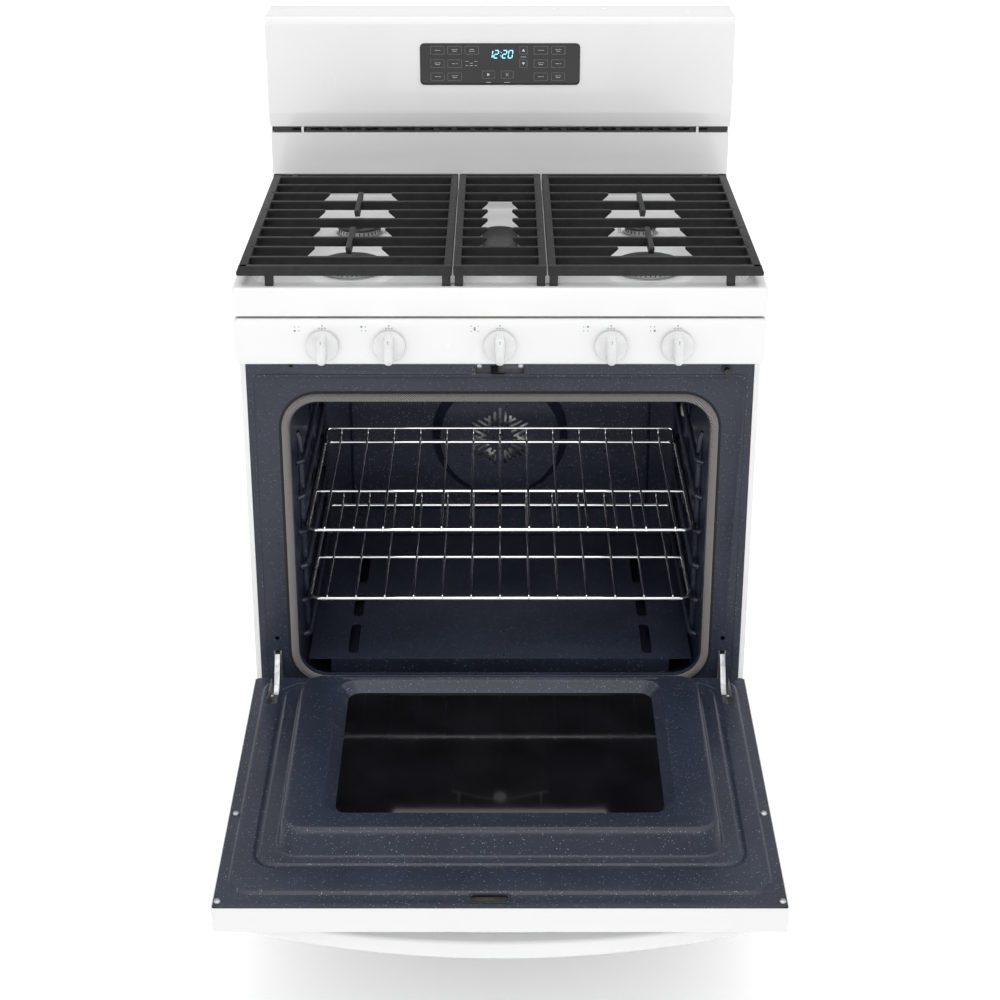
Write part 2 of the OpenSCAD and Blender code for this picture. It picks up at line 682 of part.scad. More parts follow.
module door_insulation() {
  color("khaki") placed() opened() difference() {
    box(-hw + 42, hw - 42, door_yo + 7, door_yi - 2.5, z_db + 14, z_dt - 36);
    ext_y(door_yo, door_yi + 5) rbox(win_x + 8, win_z0 - 8, win_z1 + 28, 20);
    both() hinge_slot();
    both() box(arm_x - 16, arm_x + 16, door_yo, 0, z_db, piv_z + 84);
  }
}
module door_handle() {
  hy = door_yo;
  ro = ((hw - 24) * (hw - 24) + handle_d * handle_d) / (2 * handle_d);
  di = handle_d - 29;
  xi = hw - 122;
  ri = (xi * xi + di * di) / (2 * di);
  color("white") placed() opened() translate([0, 0, z_dt - 31]) linear_extrude(24) difference() {
    translate([0, hy - handle_d + ro]) circle(r = ro);
    translate([0, hy - di + ri]) circle(r = ri);
    translate([-2 * hw, hy]) square([4 * hw, 2 * ro]);
  }
}
module door_hinges() {
  color("silver") placed() opened() both() {
    for (x = [arm_x - 11, arm_x + 8.5])
      box(x, x + 2.5, door_yo + sheet, door_yi - 2, z_db + 2.5, piv_z + 80);
    box(arm_x - 11, arm_x + 11, door_yi - 4, door_yi - 2, piv_z + 70, piv_z + 80);
    translate([0, piv_y, piv_z]) cyl_x(4, arm_x - 9, arm_x + 9);
  }
}

// ---------- moving pieces ----------
module rack(z) {
  wz = 3.2 + rack_wire - 0.6;
  color("silver") placed() translate([0, 0, z]) {
    both() translate([rack_x - 3.5, 0, 0]) cyl_y(3.5, rack_y0 - 4, rack_y1 + 4);
    for (y = [rack_y0, rack_y0 + 150, rack_y1]) translate([0, y, 0])
      cyl_x(3.2, -rack_x + 3.5, rack_x - 3.5);
    for (i = [-6:6]) translate([i * (rack_x - 30) / 6, 0, wz]) {
      cyl_y(rack_wire, rack_y0 - 3, rack_y1 + 24);
      translate([0, rack_y1 + 21.5, 0]) cylinder(r = rack_wire - 0.2, h = 12);
    }
    translate([0, rack_y1 + 21.5, 12 + wz]) cyl_x(rack_wire + 0.8, -rack_x + 12, rack_x - 12);
  }
}
module rack_upper() {
  rack(rack_z + rack_pitch);
}
module rack_lower() {
  rack(rack_z);
}
module knob(x) {
  kb = y_f - 3.5;
  color("white") placed() translate([x, 0, k_z]) difference() {
    union() {
      translate([0, kb, 0]) rotate([90, 0, 0]) cylinder(r1 = knob_r, r2 = knob_r - 1.5, h = 7);
      translate([0, kb, 0]) rotate([90, 0, 0]) cylinder(r1 = 15, r2 = 12, h = 12);
      intersection() {
        translate([0, kb, 0]) rotate([90, 0, 0]) cylinder(r1 = knob_r, r2 = knob_r - 3, h = 7 + grip_d);
        box(-7, 7, kb - 7 - grip_d, kb, -knob_r, knob_r);
      }
    }
    cyl_y(4 + run_fit, kb - 5, kb + 1);
  }
}
module knob_1() {
  knob(-knob_x2);
}
module knob_2() {
  knob(-knob_x1);
}
module knob_3() {
  knob(0);
}
module knob_4() {
  knob(knob_x1);
}
module knob_5() {
  knob(knob_x2);
}
module stem(x) {
  color("gold") placed() translate([x, 0, k_z]) {
    cyl_y(4, y_f - 8, -31);
    cyl_y(7, y_f + 3, y_f + 5);
  }
}
module stem_1() {
  stem(-knob_x2);
}
module stem_2() {
  stem(-knob_x1);
}
module stem_3() {
  stem(0);
}
module stem_4() {
  stem(knob_x1);
}
module stem_5() {
  stem(knob_x2);
}

side_panel_left();
side_panel_right();
rear_cover();
base_frame();
levelling_legs();
drawer_rails();
drawer_front();
drawer_box();
oven_front_frame();
oven_cavity();
oven_bottom_panel();
bake_burner();
broil_burner();
fan_cover();
convection_fan();
fan_motor();
oven_lamp();
oven_insulation();
door_gasket();
latch_plate();
latch_hook();
door_switch_body();
door_switch_plunger();
hinge_arms();
manifold_panel();
gas_manifold();
gas_valves();
burner_tubes();
cooktop();
burner_heads();
burner_caps();
spark_electrodes();
grate_left();
grate_center();
grate_right();
backguard_upper();
backguard_lower();
vent_grille();
backguard_rear();
control_glass();
control_board();
door_outer_panel();
door_liner();
door_inner_glass();
door_outer_glass();
door_insulation();
door_handle();
door_hinges();
rack_upper();
rack_lower();
knob_1();
knob_2();
knob_3();
knob_4();
knob_5();
stem_1();
stem_2();
stem_3();
stem_4();
stem_5();
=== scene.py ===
import math
import json
import bpy
import bmesh
from mathutils import Vector, Matrix


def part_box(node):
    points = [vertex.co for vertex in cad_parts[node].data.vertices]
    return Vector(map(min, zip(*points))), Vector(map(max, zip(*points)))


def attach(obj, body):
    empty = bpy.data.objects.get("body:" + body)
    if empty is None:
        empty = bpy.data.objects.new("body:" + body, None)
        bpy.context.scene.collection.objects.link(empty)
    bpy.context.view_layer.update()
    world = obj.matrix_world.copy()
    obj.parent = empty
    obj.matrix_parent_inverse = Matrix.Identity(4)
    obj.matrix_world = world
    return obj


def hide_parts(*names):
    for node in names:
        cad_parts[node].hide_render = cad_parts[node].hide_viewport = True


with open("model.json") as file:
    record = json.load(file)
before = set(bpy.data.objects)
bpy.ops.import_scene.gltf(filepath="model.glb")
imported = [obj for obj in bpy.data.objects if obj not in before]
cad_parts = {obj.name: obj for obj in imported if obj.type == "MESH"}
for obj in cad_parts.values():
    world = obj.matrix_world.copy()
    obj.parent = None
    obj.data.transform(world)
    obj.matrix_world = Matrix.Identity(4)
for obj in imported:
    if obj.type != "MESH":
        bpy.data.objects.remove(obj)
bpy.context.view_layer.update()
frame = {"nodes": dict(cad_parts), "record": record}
NODES = frame["nodes"]
MM = 0.001
M = 1000                                         # millimetres in a metre
DOOR_H = 554                                     # oven door height, millimetres
DOOR_GAP = 5                                     # gap above the door and above the drawer
CAM_BACK, CAM_UP, CAM_PITCH, CAM_LENS = 2.800, 1.8005, 23.8, 73.4
SLANT = 0.16                                     # lean of the clock's digits
RUNNER_PITCH = 58.75                             # height step between the oven's rack guides

# ---------------------------------------------------------------- reference positions
B = {name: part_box(name) for name in NODES}
Y0 = B["oven_front_frame"][0].y + 0.001          # plane of the oven's front frame
HW = B["cooktop"][1].x                           # half of the body's width
COOK = B["cooktop"][1].z                         # cooktop rim
BACK = B["backguard_upper"][1].z
Z_PB, Z_PT = B["manifold_panel"][0].z, B["manifold_panel"][1].z
HINGE = next(j for j in frame["record"]["behaviour"]["joints"] if j["name"] == "oven_door_swing")
PIVOT = Vector(HINGE["pos_m"])
OPEN = math.radians(HINGE["range_deg"][1])


def opened(p):
    """A point of the closed door, moved to the open rest pose."""
    dy, dz = p[1] - PIVOT.y, p[2] - PIVOT.z
    return Vector((p[0], PIVOT.y + dy * math.cos(OPEN) - dz * math.sin(OPEN),
                   PIVOT.z + dy * math.sin(OPEN) + dz * math.cos(OPEN)))


# ---------------------------------------------------------------- camera
def camera():
    cam = bpy.data.objects.new("camera", bpy.data.cameras.new("camera"))
    bpy.context.scene.collection.objects.link(cam)
    cam.location = (0, Y0 - CAM_BACK, CAM_UP)
    cam.rotation_euler = (math.radians(90 - CAM_PITCH), 0, 0)
    cam.data.sensor_width = 36
    cam.data.lens = CAM_LENS
    cam.data.clip_start, cam.data.clip_end = 0.05, 60
    bpy.context.scene.camera = cam


camera()


# ---------------------------------------------------------------- node helpers
class Mat:
    """Small helper that builds one node material."""

    def __init__(self, name):
        self.m = bpy.data.materials.new(name)
        self.m.use_nodes = True
        self.t = self.m.node_tree
        self.bsdf = self.t.nodes["Principled BSDF"]
        self.coord = self.t.nodes.new("ShaderNodeTexCoord").outputs["Object"]

    def set(self, **values):
        for key, value in values.items():
            self.bsdf.inputs[key.replace("_", " ")].default_value = value
        return self

    def node(self, kind, **props):
        n = self.t.nodes.new(kind)
        for key, value in props.items():
            setattr(n, key, value)
        return n

    def link(self, a, b):
        self.t.links.new(a, b)

    def noise(self, scale, detail=3.0, rough=0.5, vector=None):
        n = self.node("ShaderNodeTexNoise")
        n.inputs["Scale"].default_value = scale
        n.inputs["Detail"].default_value = detail
        n.inputs["Roughness"].default_value = rough
        self.link(vector or self.coord, n.inputs["Vector"])
        return n.outputs["Fac"]

    def voronoi(self, scale, feature="F1", vector=None):
        n = self.node("ShaderNodeTexVoronoi", feature=feature)
        n.inputs["Scale"].default_value = scale
        self.link(vector or self.coord, n.inputs["Vector"])
        return n

    def mapping(self, scale):
        n = self.node("ShaderNodeMapping")
        n.inputs["Scale"].default_value = scale
        self.link(self.coord, n.inputs["Vector"])
        return n.outputs["Vector"]

    def ramp(self, fac, stops, mode="LINEAR"):
        n = self.node("ShaderNodeValToRGB")
        n.color_ramp.interpolation = mode
        el = n.color_ramp.elements
        while len(el) < len(stops):
            el.new(0.5)
        for e, (pos, col) in zip(el, stops):
            e.position = pos
            e.color = (*col, 1) if len(col) == 3 else col
        self.link(fac, n.inputs["Fac"])
        return n.outputs["Color"]

    def span(self, fac, lo, hi, f0=0.0, f1=1.0):
        n = self.node("ShaderNodeMapRange")
        n.inputs["From Min"].default_value = f0
        n.inputs["From Max"].default_value = f1
        n.inputs["To Min"].default_value = lo
        n.inputs["To Max"].default_value = hi
        self.link(fac, n.inputs["Value"])
        return n.outputs["Result"]

    def math(self, op, a, b):
        n = self.node("ShaderNodeMath", operation=op)
        for i, v in enumerate((a, b)):
            if isinstance(v, (int, float)):
                n.inputs[i].default_value = v
            else:
                self.link(v, n.inputs[i])
        return n.outputs[0]

    def mix(self, fac, a, b):
        n = self.node("ShaderNodeMix", data_type="RGBA")
        self.link(fac, n.inputs["Factor"])
        for i, v in ((6, a), (7, b)):
            if isinstance(v, tuple):
                n.inputs[i].default_value = (*v, 1)
            else:
                self.link(v, n.inputs[i])
        return n.outputs[2]

    def color(self, out):
        self.link(out, self.bsdf.inputs["Base Color"])
        return self

    def rough(self, out):
        self.link(out, self.bsdf.inputs["Roughness"])
        return self

    def bump(self, height, strength, distance=0.001):
        n = self.node("ShaderNodeBump")
        n.inputs["Strength"].default_value = strength
        n.inputs["Distance"].default_value = distance
        self.link(height, n.inputs["Height"])
        self.link(n.outputs["Normal"], self.bsdf.inputs["Normal"])
        return self


def white_enamel(name="white_enamel", tint=(0.86, 0.865, 0.86)):
    """Baked white enamel: slight orange peel, faint tone drift, high gloss coat."""
    m = Mat(name).set(IOR=1.5, Coat_Weight=0.35, Coat_Roughness=0.06)
    drift = m.noise(5.0, 3)
    dark = tuple(c * 0.975 for c in tint)
    m.color(m.ramp(drift, [(0.3, dark), (0.7, tint)]))
    m.rough(m.span(m.noise(38.0, 4), 0.20, 0.30))
    m.bump(m.noise(420.0, 2, 0.4), 0.05, 0.0004)
    return m.m


def porcelain():
    """Dark blue porcelain enamel with a dense fine pale speckle."""
    m = Mat("blue_porcelain").set(IOR=1.42, Coat_Weight=0.12, Coat_Roughness=0.15)
    base = m.ramp(m.noise(9.0, 4), [(0.3, (0.015, 0.0195, 0.035)), (0.75, (0.025, 0.032, 0.055))])
    v = m.voronoi(430.0)
    chance = m.node("ShaderNodeSeparateColor")
    m.link(v.outputs["Color"], chance.inputs["Color"])
    dots = m.math("LESS_THAN", v.outputs["Distance"], m.span(chance.outputs["Red"], 0.0, 0.31, 0.45, 1.0))
    level = m.mix(chance.outputs["Green"], (0.05, 0.06, 0.09), (0.30, 0.34, 0.41))
    speck = m.mix(dots, base, level)
    m.color(speck)
    m.rough(m.span(m.noise(60.0, 3), 0.24, 0.36))
    m.bump(m.noise(300.0, 3), 0.10, 0.0005)
    return m.m


def cast_iron():
    m = Mat("cast_grate").set(IOR=1.4, Coat_Weight=0.05, Coat_Roughness=0.4)
    m.color(m.ramp(m.noise(60.0, 5), [(0.3, (0.006, 0.006, 0.006)), (0.75, (0.015, 0.015, 0.016))]))
    m.rough(m.span(m.noise(160.0, 4), 0.38, 0.62))
    h = m.math("ADD", m.noise(900.0, 3), m.math("MULTIPLY", m.noise(160.0, 3), 1.2))
    m.bump(h, 0.45, 0.0006)
    return m.m


def black_cap():
    m = Mat("black_cap").set(IOR=1.5, Coat_Weight=0.3, Coat_Roughness=0.25)
    m.color(m.ramp(m.noise(80.0, 4), [(0.3, (0.010, 0.010, 0.011)), (0.8, (0.022, 0.022, 0.024))]))
    m.rough(m.span(m.noise(200.0, 3), 0.30, 0.45))
    m.bump(m.noise(700.0, 2), 0.15, 0.0004)
    return m.m


def metal(name, color, r0, r1, grain=(1, 1, 1), scale=300.0, bump=0.1, dark=0.86):
    m = Mat(name).set(Metallic=1.0)
    vec = m.mapping(grain)
    n = m.noise(scale, 4, 0.6, vec)
    m.color(m.ramp(n, [(0.25, tuple(c * dark for c in color)), (0.75, color)]))
    m.rough(m.span(m.noise(scale * 0.4, 3, 0.5, vec), r0, r1))
    m.bump(n, bump, 0.0003)
    return m.m


def galvanised():
    m = Mat("galvanised").set(Metallic=1.0)
    v = m.voronoi(95.0)
    m.color(m.ramp(v.outputs["Color"], [(0.2, (0.42, 0.43, 0.44)), (0.8, (0.60, 0.61, 0.62))]))
    m.rough(m.span(v.outputs["Distance"], 0.30, 0.48))
    m.bump(m.noise(200.0, 3), 0.08, 0.0004)
    return m.m


def black_glass():
    m = Mat("black_glass").set(IOR=1.38)
    m.color(m.ramp(m.noise(14.0, 2), [(0.3, (0.004, 0.004, 0.005)), (0.8, (0.009, 0.009, 0.011))]))
    m.rough(m.span(m.noise(25.0, 2), 0.035, 0.07))
    m.bump(m.noise(9.0, 1), 0.03, 0.0008)
    return m.m


def braid():
    """Woven glass fibre gasket."""
    m = Mat("gasket").set(IOR=1.45, Sheen_Weight=0.3)
    w = m.node("ShaderNodeTexWave", wave_type="BANDS", bands_direction="DIAGONAL")
    w.inputs["Scale"].default_value = 160.0
    w.inputs["Distortion"].default_value = 2.0
    w.inputs["Detail"].default_value = 2.0
    m.link(m.coord, w.inputs["Vector"])
    n = m.noise(500.0, 3)
    h = m.math("ADD", w.outputs["Fac"], m.math("MULTIPLY", n, 0.7))
    m.color(m.ramp(h, [(0.3, (0.075, 0.068, 0.066)), (1.0, (0.26, 0.242, 0.235))]))
    m.rough(m.span(n, 0.80, 0.95))
    m.bump(h, 0.7, 0.0009)
    return m.m


def fibre():
    m = Mat("fibre").set(IOR=1.45, Sheen_Weight=0.4)
    n = m.noise(120.0, 6, 0.7)
    m.color(m.ramp(n, [(0.3, (0.52, 0.46, 0.30)), (0.7, (0.74, 0.68, 0.48))]))
    m.rough(m.span(n, 0.85, 0.98))
    m.bump(n, 0.9, 0.003)
    return m.m


def plastic(name, color, r0=0.35, r1=0.5, bump=0.12):
    m = Mat(name).set(IOR=1.46)
    m.color(m.ramp(m.noise(30.0, 3), [(0.3, tuple(c * 0.85 for c in color)), (0.75, color)]))
    m.rough(m.span(m.noise(120.0, 3), r0, r1))
    m.bump(m.noise(800.0, 2), bump, 0.0003)
    return m.m


def lamp_glass():
    m = Mat("lamp_glass").set(IOR=1.5, Transmission_Weight=0.35)
    m.color(m.ramp(m.noise(40.0, 2), [(0.3, (0.80, 0.78, 0.70)), (0.8, (0.92, 0.91, 0.86))]))
    m.rough(m.span(m.noise(90.0, 2), 0.25, 0.40))
    m.bump(m.noise(260.0, 2), 0.2, 0.0006)
    return m.m


def printed(name, color, glow=0.0):
    """Print on glass, or a lit segment."""
    m = Mat(name).set(IOR=1.45)
    m.color(m.ramp(m.noise(300.0, 2), [(0.3, tuple(c * 0.92 for c in color)), (0.8, color)]))
    m.rough(m.span(m.noise(150.0, 2), 0.30, 0.45))
    m.bump(m.noise(900.0, 1), 0.05, 0.0002)
    if glow:
        m.bsdf.inputs["Emission Color"].default_value = (*color, 1)
        m.bsdf.inputs["Emission Strength"].default_value = glow
    return m.m


def floor_mat():
    m = Mat("studio_floor").set(IOR=1.4)
    m.color(m.ramp(m.noise(1.5, 3), [(0.3, (0.95, 0.95, 0.95)), (0.8, (0.97, 0.97, 0.97))]))
    m.rough(m.span(m.noise(30.0, 3), 0.55, 0.7))
    m.bump(m.noise(200.0, 2), 0.03, 0.0004)
    m.bsdf.inputs["Emission Color"].default_value = (1, 1, 1, 1)
    m.bsdf.inputs["Emission Strength"].default_value = 0.26
    return m.m


MATS = {
    "white_enamel": white_enamel(),
    "white_knob": plastic("white_knob", (0.84, 0.845, 0.84), 0.16, 0.26, 0.03),
    "blue_porcelain": porcelain(),
    "cast_grate": cast_iron(),
    "black_cap": black_cap(),
    "burner_alu": metal("burner_alu", (0.62, 0.62, 0.63), 0.32, 0.5, scale=220.0, bump=0.25),
    "rack_chrome": metal("rack_chrome", (0.80, 0.80, 0.81), 0.08, 0.16, scale=90.0, bump=0.03, dark=0.94),
    "black_glass": black_glass(),
    "galvanised": galvanised(),
    "steel_tube": metal("steel_tube", (0.40, 0.385, 0.36), 0.35, 0.55, scale=120.0, bump=0.2, dark=0.7),
    "brass": metal("brass", (0.66, 0.50, 0.24), 0.22, 0.36, scale=150.0, bump=0.1),
    "gasket": braid(),
    "fibre": fibre(),
    "black_plastic": plastic("black_plastic", (0.020, 0.020, 0.021)),
    "foot_plastic": plastic("foot_plastic", (0.035, 0.035, 0.036), 0.45, 0.6),
    "lamp_glass": lamp_glass(),
    "board": plastic("board", (0.03, 0.16, 0.07), 0.3, 0.45),
    "ceramic_white": plastic("ceramic_white", (0.82, 0.81, 0.78), 0.15, 0.3, 0.05),
    "dark_frame": plastic("dark_frame", (0.045, 0.045, 0.048), 0.4, 0.55, 0.2),
    "fan_steel": metal("fan_steel", (0.60, 0.60, 0.61), 0.25, 0.4, scale=200.0),
}
# painted shade: a darker copy of the white enamel for the door panel, handle and drawer front, standing in for
# the lower light on these faces; the real paint is the same white
DOOR_WHITE_SHADED = white_enamel("door_enamel_painted_shade", (0.775, 0.78, 0.775))
PRINT_GREY = printed("print_grey", (0.42, 0.43, 0.45))
PRINT_LIGHT = printed("print_light", (0.72, 0.74, 0.77))
PRINT_DARK = printed("print_dark", (0.30, 0.31, 0.33))
DIGITS = printed("clock_digits", (0.25, 0.72, 0.95), 1.6)
# painted shade: near-black material for dark pieces put where there is only shade
SHADOW = plastic("painted_shade_black", (0.010, 0.010, 0.011), 0.6, 0.8)

SLOT_OF = {s["node"]: s["material_slot"] for s in frame["record"]["subparts"]}
BODY_OF = {n: b for b, ns in frame["record"]["behaviour"]["bodies"].items() for n in ns}


def dress(obj, mat):
    obj.data.materials.clear()
    obj.data.materials.append(mat)


def smooth(obj, angle=32):
    for p in obj.data.polygons:
        p.use_smooth = True
    obj.data.set_sharp_from_angle(angle=math.radians(angle))


def new_obj(name, bm, mat, body, slot=None, replaces=(), angle=32, bevel=None):
    """Makes an object from a bmesh, dresses and smooths it, and parents it to its body."""
    bmesh.ops.recalc_face_normals(bm, faces=bm.faces)
    me = bpy.data.meshes.new(name)
    bm.to_mesh(me)
    bm.free()
    obj = bpy.data.objects.new(name, me)
    bpy.context.scene.collection.objects.link(obj)
    dress(obj, mat)
    if bevel:
        add_bevel(obj, *bevel)
    smooth(obj, angle)
    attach(obj, body)
    if replaces:
        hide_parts(*replaces)
    return obj


def add_bevel(obj, width, segments=2, angle=30):
    mod = obj.modifiers.new("edge", "BEVEL")
    mod.width = width
    mod.segments = segments
    mod.limit_method = "ANGLE"
    mod.angle_limit = math.radians(angle)
    mod.harden_normals = False
    mod.miter_outer = "MITER_ARC"
    return mod


def refine(node, width, segments=2, angle=30, name=None):
    """A finished copy of a CAD node: welded, flat faces merged, edges rounded."""
    src = NODES[node]
    bm = bmesh.new()
    bm.from_mesh(src.data)
    bmesh.ops.remove_doubles(bm, verts=bm.verts, dist=1e-5)
    bmesh.ops.dissolve_limit(bm, angle_limit=math.radians(0.8), verts=bm.verts, edges=bm.edges)
    return new_obj(name or node + "_finished", bm, MATS[SLOT_OF[node]], BODY_OF[node],
                   SLOT_OF[node], (node,), bevel=(width, segments, angle))


# ---------------------------------------------------------------- mesh builders
def rect_loop(x0, x1, z0, z1, r, n=7):
    """Points of a rounded rectangle in (x, z), anticlockwise."""
    r = max(1e-5, min(r, (x1 - x0) / 2 - 1e-6, (z1 - z0) / 2 - 1e-6))
    pts = []
    for cx, cz, a0 in ((x1 - r, z1 - r, 0), (x0 + r, z1 - r, 90), (x0 + r, z0 + r, 180),
                       (x1 - r, z0 + r, 270)):
        for i in range(n + 1):
            a = math.radians(a0 + 90 * i / n)
            pts.append((cx + r * math.cos(a), cz + r * math.sin(a)))
    return pts


def round_path(path, radii, seg=4):
    """Path of equal-length point lists with its inner corners rounded, point by point."""
    out = [path[0]]
    for i in range(1, len(path) - 1):
        r = radii[i] if radii else 0
        if r <= 0:
            out.append(path[i])
            continue
        a, b, c = path[i - 1], path[i], path[i + 1]
        for k in range(seg + 1):
            t = k / seg
            ring = []
            for pa, pb, pc in zip(a, b, c):
                va, vc = pa - pb, pc - pb
                p0 = pb + (va * 0.5 if va.length < 2 * r else va.normalized() * r)
                p2 = pb + (vc * 0.5 if vc.length < 2 * r else vc.normalized() * r)
                ring.append(p0 * (1 - t) ** 2 + pb * 2 * t * (1 - t) + p2 * t ** 2)
            out.append(ring)
    out.append(path[-1])
    return out


def skin(rings, cap0=False, cap1=False, closed=True):
    """A bmesh that joins rings of points with quads."""
    bm = bmesh.new()
    rows = [[bm.verts.new(p) for p in ring] for ring in rings]
    n = len(rows[0])
    for a, b in zip(rows, rows[1:]):
        for i in range(n if closed else n - 1):
            j = (i + 1) % n
            bm.faces.new((a[i], a[j], b[j], b[i]))
    if cap0:
        bm.faces.new(rows[0])
    if cap1:
        bm.faces.new(list(reversed(rows[-1])))
    return bm


def merge(bms):
    """Joins several bmeshes into the first."""
    first = bms[0]
    for other in bms[1:]:
        me = bpy.data.meshes.new("tmp")
        other.to_mesh(me)
        other.free()
        first.from_mesh(me)
        bpy.data.meshes.remove(me)
    return first


def turned(profile, centre, axis="Y", seg=48):
    """A lathed bmesh from (radius, along) pairs in millimetres, around an axis through centre."""
    rings = []
    for r, d in profile:
        ring = []
        r, d = r * MM, d * MM
        for i in range(seg):
            a = 2 * math.pi * i / seg
            u, v = r * math.cos(a), r * math.sin(a)
            if axis == "Y":
                ring.append(Vector((centre[0] + u, centre[1] + d, centre[2] + v)))
            elif axis == "Z":
                ring.append(Vector((centre[0] + u, centre[1] + v, centre[2] + d)))
            else:
                ring.append(Vector((centre[0] + d, centre[1] + u, centre[2] + v)))
        rings.append(ring)
    bm = skin(rings, cap0=profile[0][0] > 1e-6, cap1=profile[-1][0] > 1e-6)
    bmesh.ops.remove_doubles(bm, verts=bm.verts, dist=1e-7)
    return bm


def wire(points, radius, closed=False, name="wire", seg=10):
    """A tube bmesh along points."""
    cu = bpy.data.curves.new(name, "CURVE")
    cu.dimensions = "3D"
    sp = cu.splines.new("POLY")
    sp.points.add(len(points) - 1)
    for p, q in zip(sp.points, points):
        p.co = (*q, 1)
    sp.use_cyclic_u = closed
    cu.bevel_depth = radius
    cu.bevel_resolution = max(1, seg // 4)
    cu.use_fill_caps = True
    tmp = bpy.data.objects.new(name, cu)
    bpy.context.scene.collection.objects.link(tmp)
    dg = bpy.context.evaluated_depsgraph_get()
    me = bpy.data.meshes.new_from_object(tmp.evaluated_get(dg))
    bm = bmesh.new()
    bm.from_mesh(me)
    bpy.data.objects.remove(tmp)
    bpy.data.meshes.remove(me)
    bpy.data.curves.remove(cu)
    return bm


def fillet_line(points, r, seg=6):
    """Rounds the corners of an open polyline."""
    pts = [Vector(p) for p in points]
    out = [pts[0]]
    for a, b, c in zip(pts, pts[1:], pts[2:]):
        va, vc = (a - b), (c - b)
        ra = min(r, va.length * 0.49, vc.length * 0.49)
        p0, p2 = b + va.normalized() * ra, b + vc.normalized() * ra
        for k in range(seg + 1):
            t = k / seg
            out.append(p0 * (1 - t) ** 2 + b * 2 * t * (1 - t) + p2 * t ** 2)
    out.append(pts[-1])
    return out


# ---------------------------------------------------------------- carried-over nodes
for node, obj in NODES.items():
    dress(obj, MATS[SLOT_OF[node]])
    smooth(obj, 28)


def P(x, y, z):
    """Millimetres in the part's own frame, with y = 0 at the oven's front frame."""
    return Vector((x * MM, Y0 + y * MM, z * MM))


def door_point(x, y, z):
    return opened(P(x, y, z))


def stack(spec, radii=None, place=P, n=7, seg=4, cap0=False, cap1=True):
    """Skin over rounded rectangles in (x, z), one per row of (x0, x1, z0, z1, r, y)."""
    rings = [[place(x, d, z) for x, z in rect_loop(x0, x1, z0, z1, r, n)] for x0, x1, z0, z1, r, d in spec]
    if radii:
        rings = round_path(rings, [q * MM for q in radii], seg)
    return skin(rings, cap0, cap1)


def flat_stack(spec, radii=None, n=7, seg=4, cap0=False, cap1=True):
    """The same with rows of (x0, x1, y0, y1, r, z), lying flat."""
    return stack(spec, radii, lambda x, d, y: P(x, y, d), n, seg, cap0, cap1)


def slab(x0, x1, z0, z1, r, y0, y1, edge=0.4, place=P, n=4):
    """A thin rounded plate whose front face is at y1."""
    return stack([(x0, x1, z0, z1, r, y0), (x0, x1, z0, z1, r, y1),
                  (x0 + edge * 2, x1 - edge * 2, z0 + edge * 2, z1 - edge * 2, max(0.1, r - edge), y1)],
                 [0, edge, 0], place, n, 2, True, True)


def bisect_cut(bm, boxes, inverse):
    """Deletes the faces of bm inside boxes given in closed-door millimetres."""
    for (x0, x1), (y0, y1), (z0, z1) in boxes:
        for p, nrm in ((P(x0, 0, 0), (1, 0, 0)), (P(x1, 0, 0), (1, 0, 0)), (P(0, 0, z0), (0, 0, 1)),
                       (P(0, 0, z1), (0, 0, 1))):
            bmesh.ops.bisect_plane(bm, geom=bm.verts[:] + bm.edges[:] + bm.faces[:], dist=1e-7,
                                   plane_co=p, plane_no=nrm)
        dead = []
        for f in bm.faces:
            c = f.calc_center_median()
            if x0 * MM < c.x < x1 * MM and Y0 + y0 * MM < c.y < Y0 + y1 * MM and z0 * MM < c.z < z1 * MM:
                dead.append(f)
        bmesh.ops.delete(bm, geom=dead, context="FACES")
    if inverse:
        for v in bm.verts:
            v.co = opened(v.co)


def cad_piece(name, bm, slot, body="chassis", replaces=(), mat=None, **kw):
    return new_obj(name, bm, mat or MATS[slot], body, slot, replaces, **kw)


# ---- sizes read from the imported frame, in millimetres
hw = HW * M
z_ap = B["cooktop"][0].z * M
cook = COOK * M
back = BACK * M
z_pb, z_pt = Z_PB * M, Z_PT * M
y_f = (B["cooktop"][0].y - Y0) * M
y_bg = (B["cooktop"][1].y - Y0) * M + 1.5
y_r = (B["backguard_rear"][1].y - Y0) * M
z_db, z_dt = z_pb - DOOR_H - DOOR_GAP, z_pb - DOOR_GAP
mx = B["oven_cavity"][1].x * M - 1.5
mz1 = B["oven_cavity"][1].z * M - 1.5
fl_z = B["oven_cavity"][0].z * M + 1.5
mz0 = fl_z + 18
cav_y = (B["oven_cavity"][1].y - Y0) * M
hook_z = (B["latch_hook"][0].z + B["latch_hook"][1].z) * 500
k_z = (B["knob_3"][0].z + B["knob_3"][1].z) * 500
KNOB_X = [(B[f"knob_{i}"][0].x + B[f"knob_{i}"][1].x) * 500 for i in range(1, 6)]
arm_x = hw - 34.5
win_x, win_z0 = mx - 82, mz0 + 42
win_z1 = win_z0 + (mz1 - mz0) * 0.666
plug_x, plug_z1 = mx - 12, mz1 - 60
well_z = B["burner_tubes"][1].z * M + 10


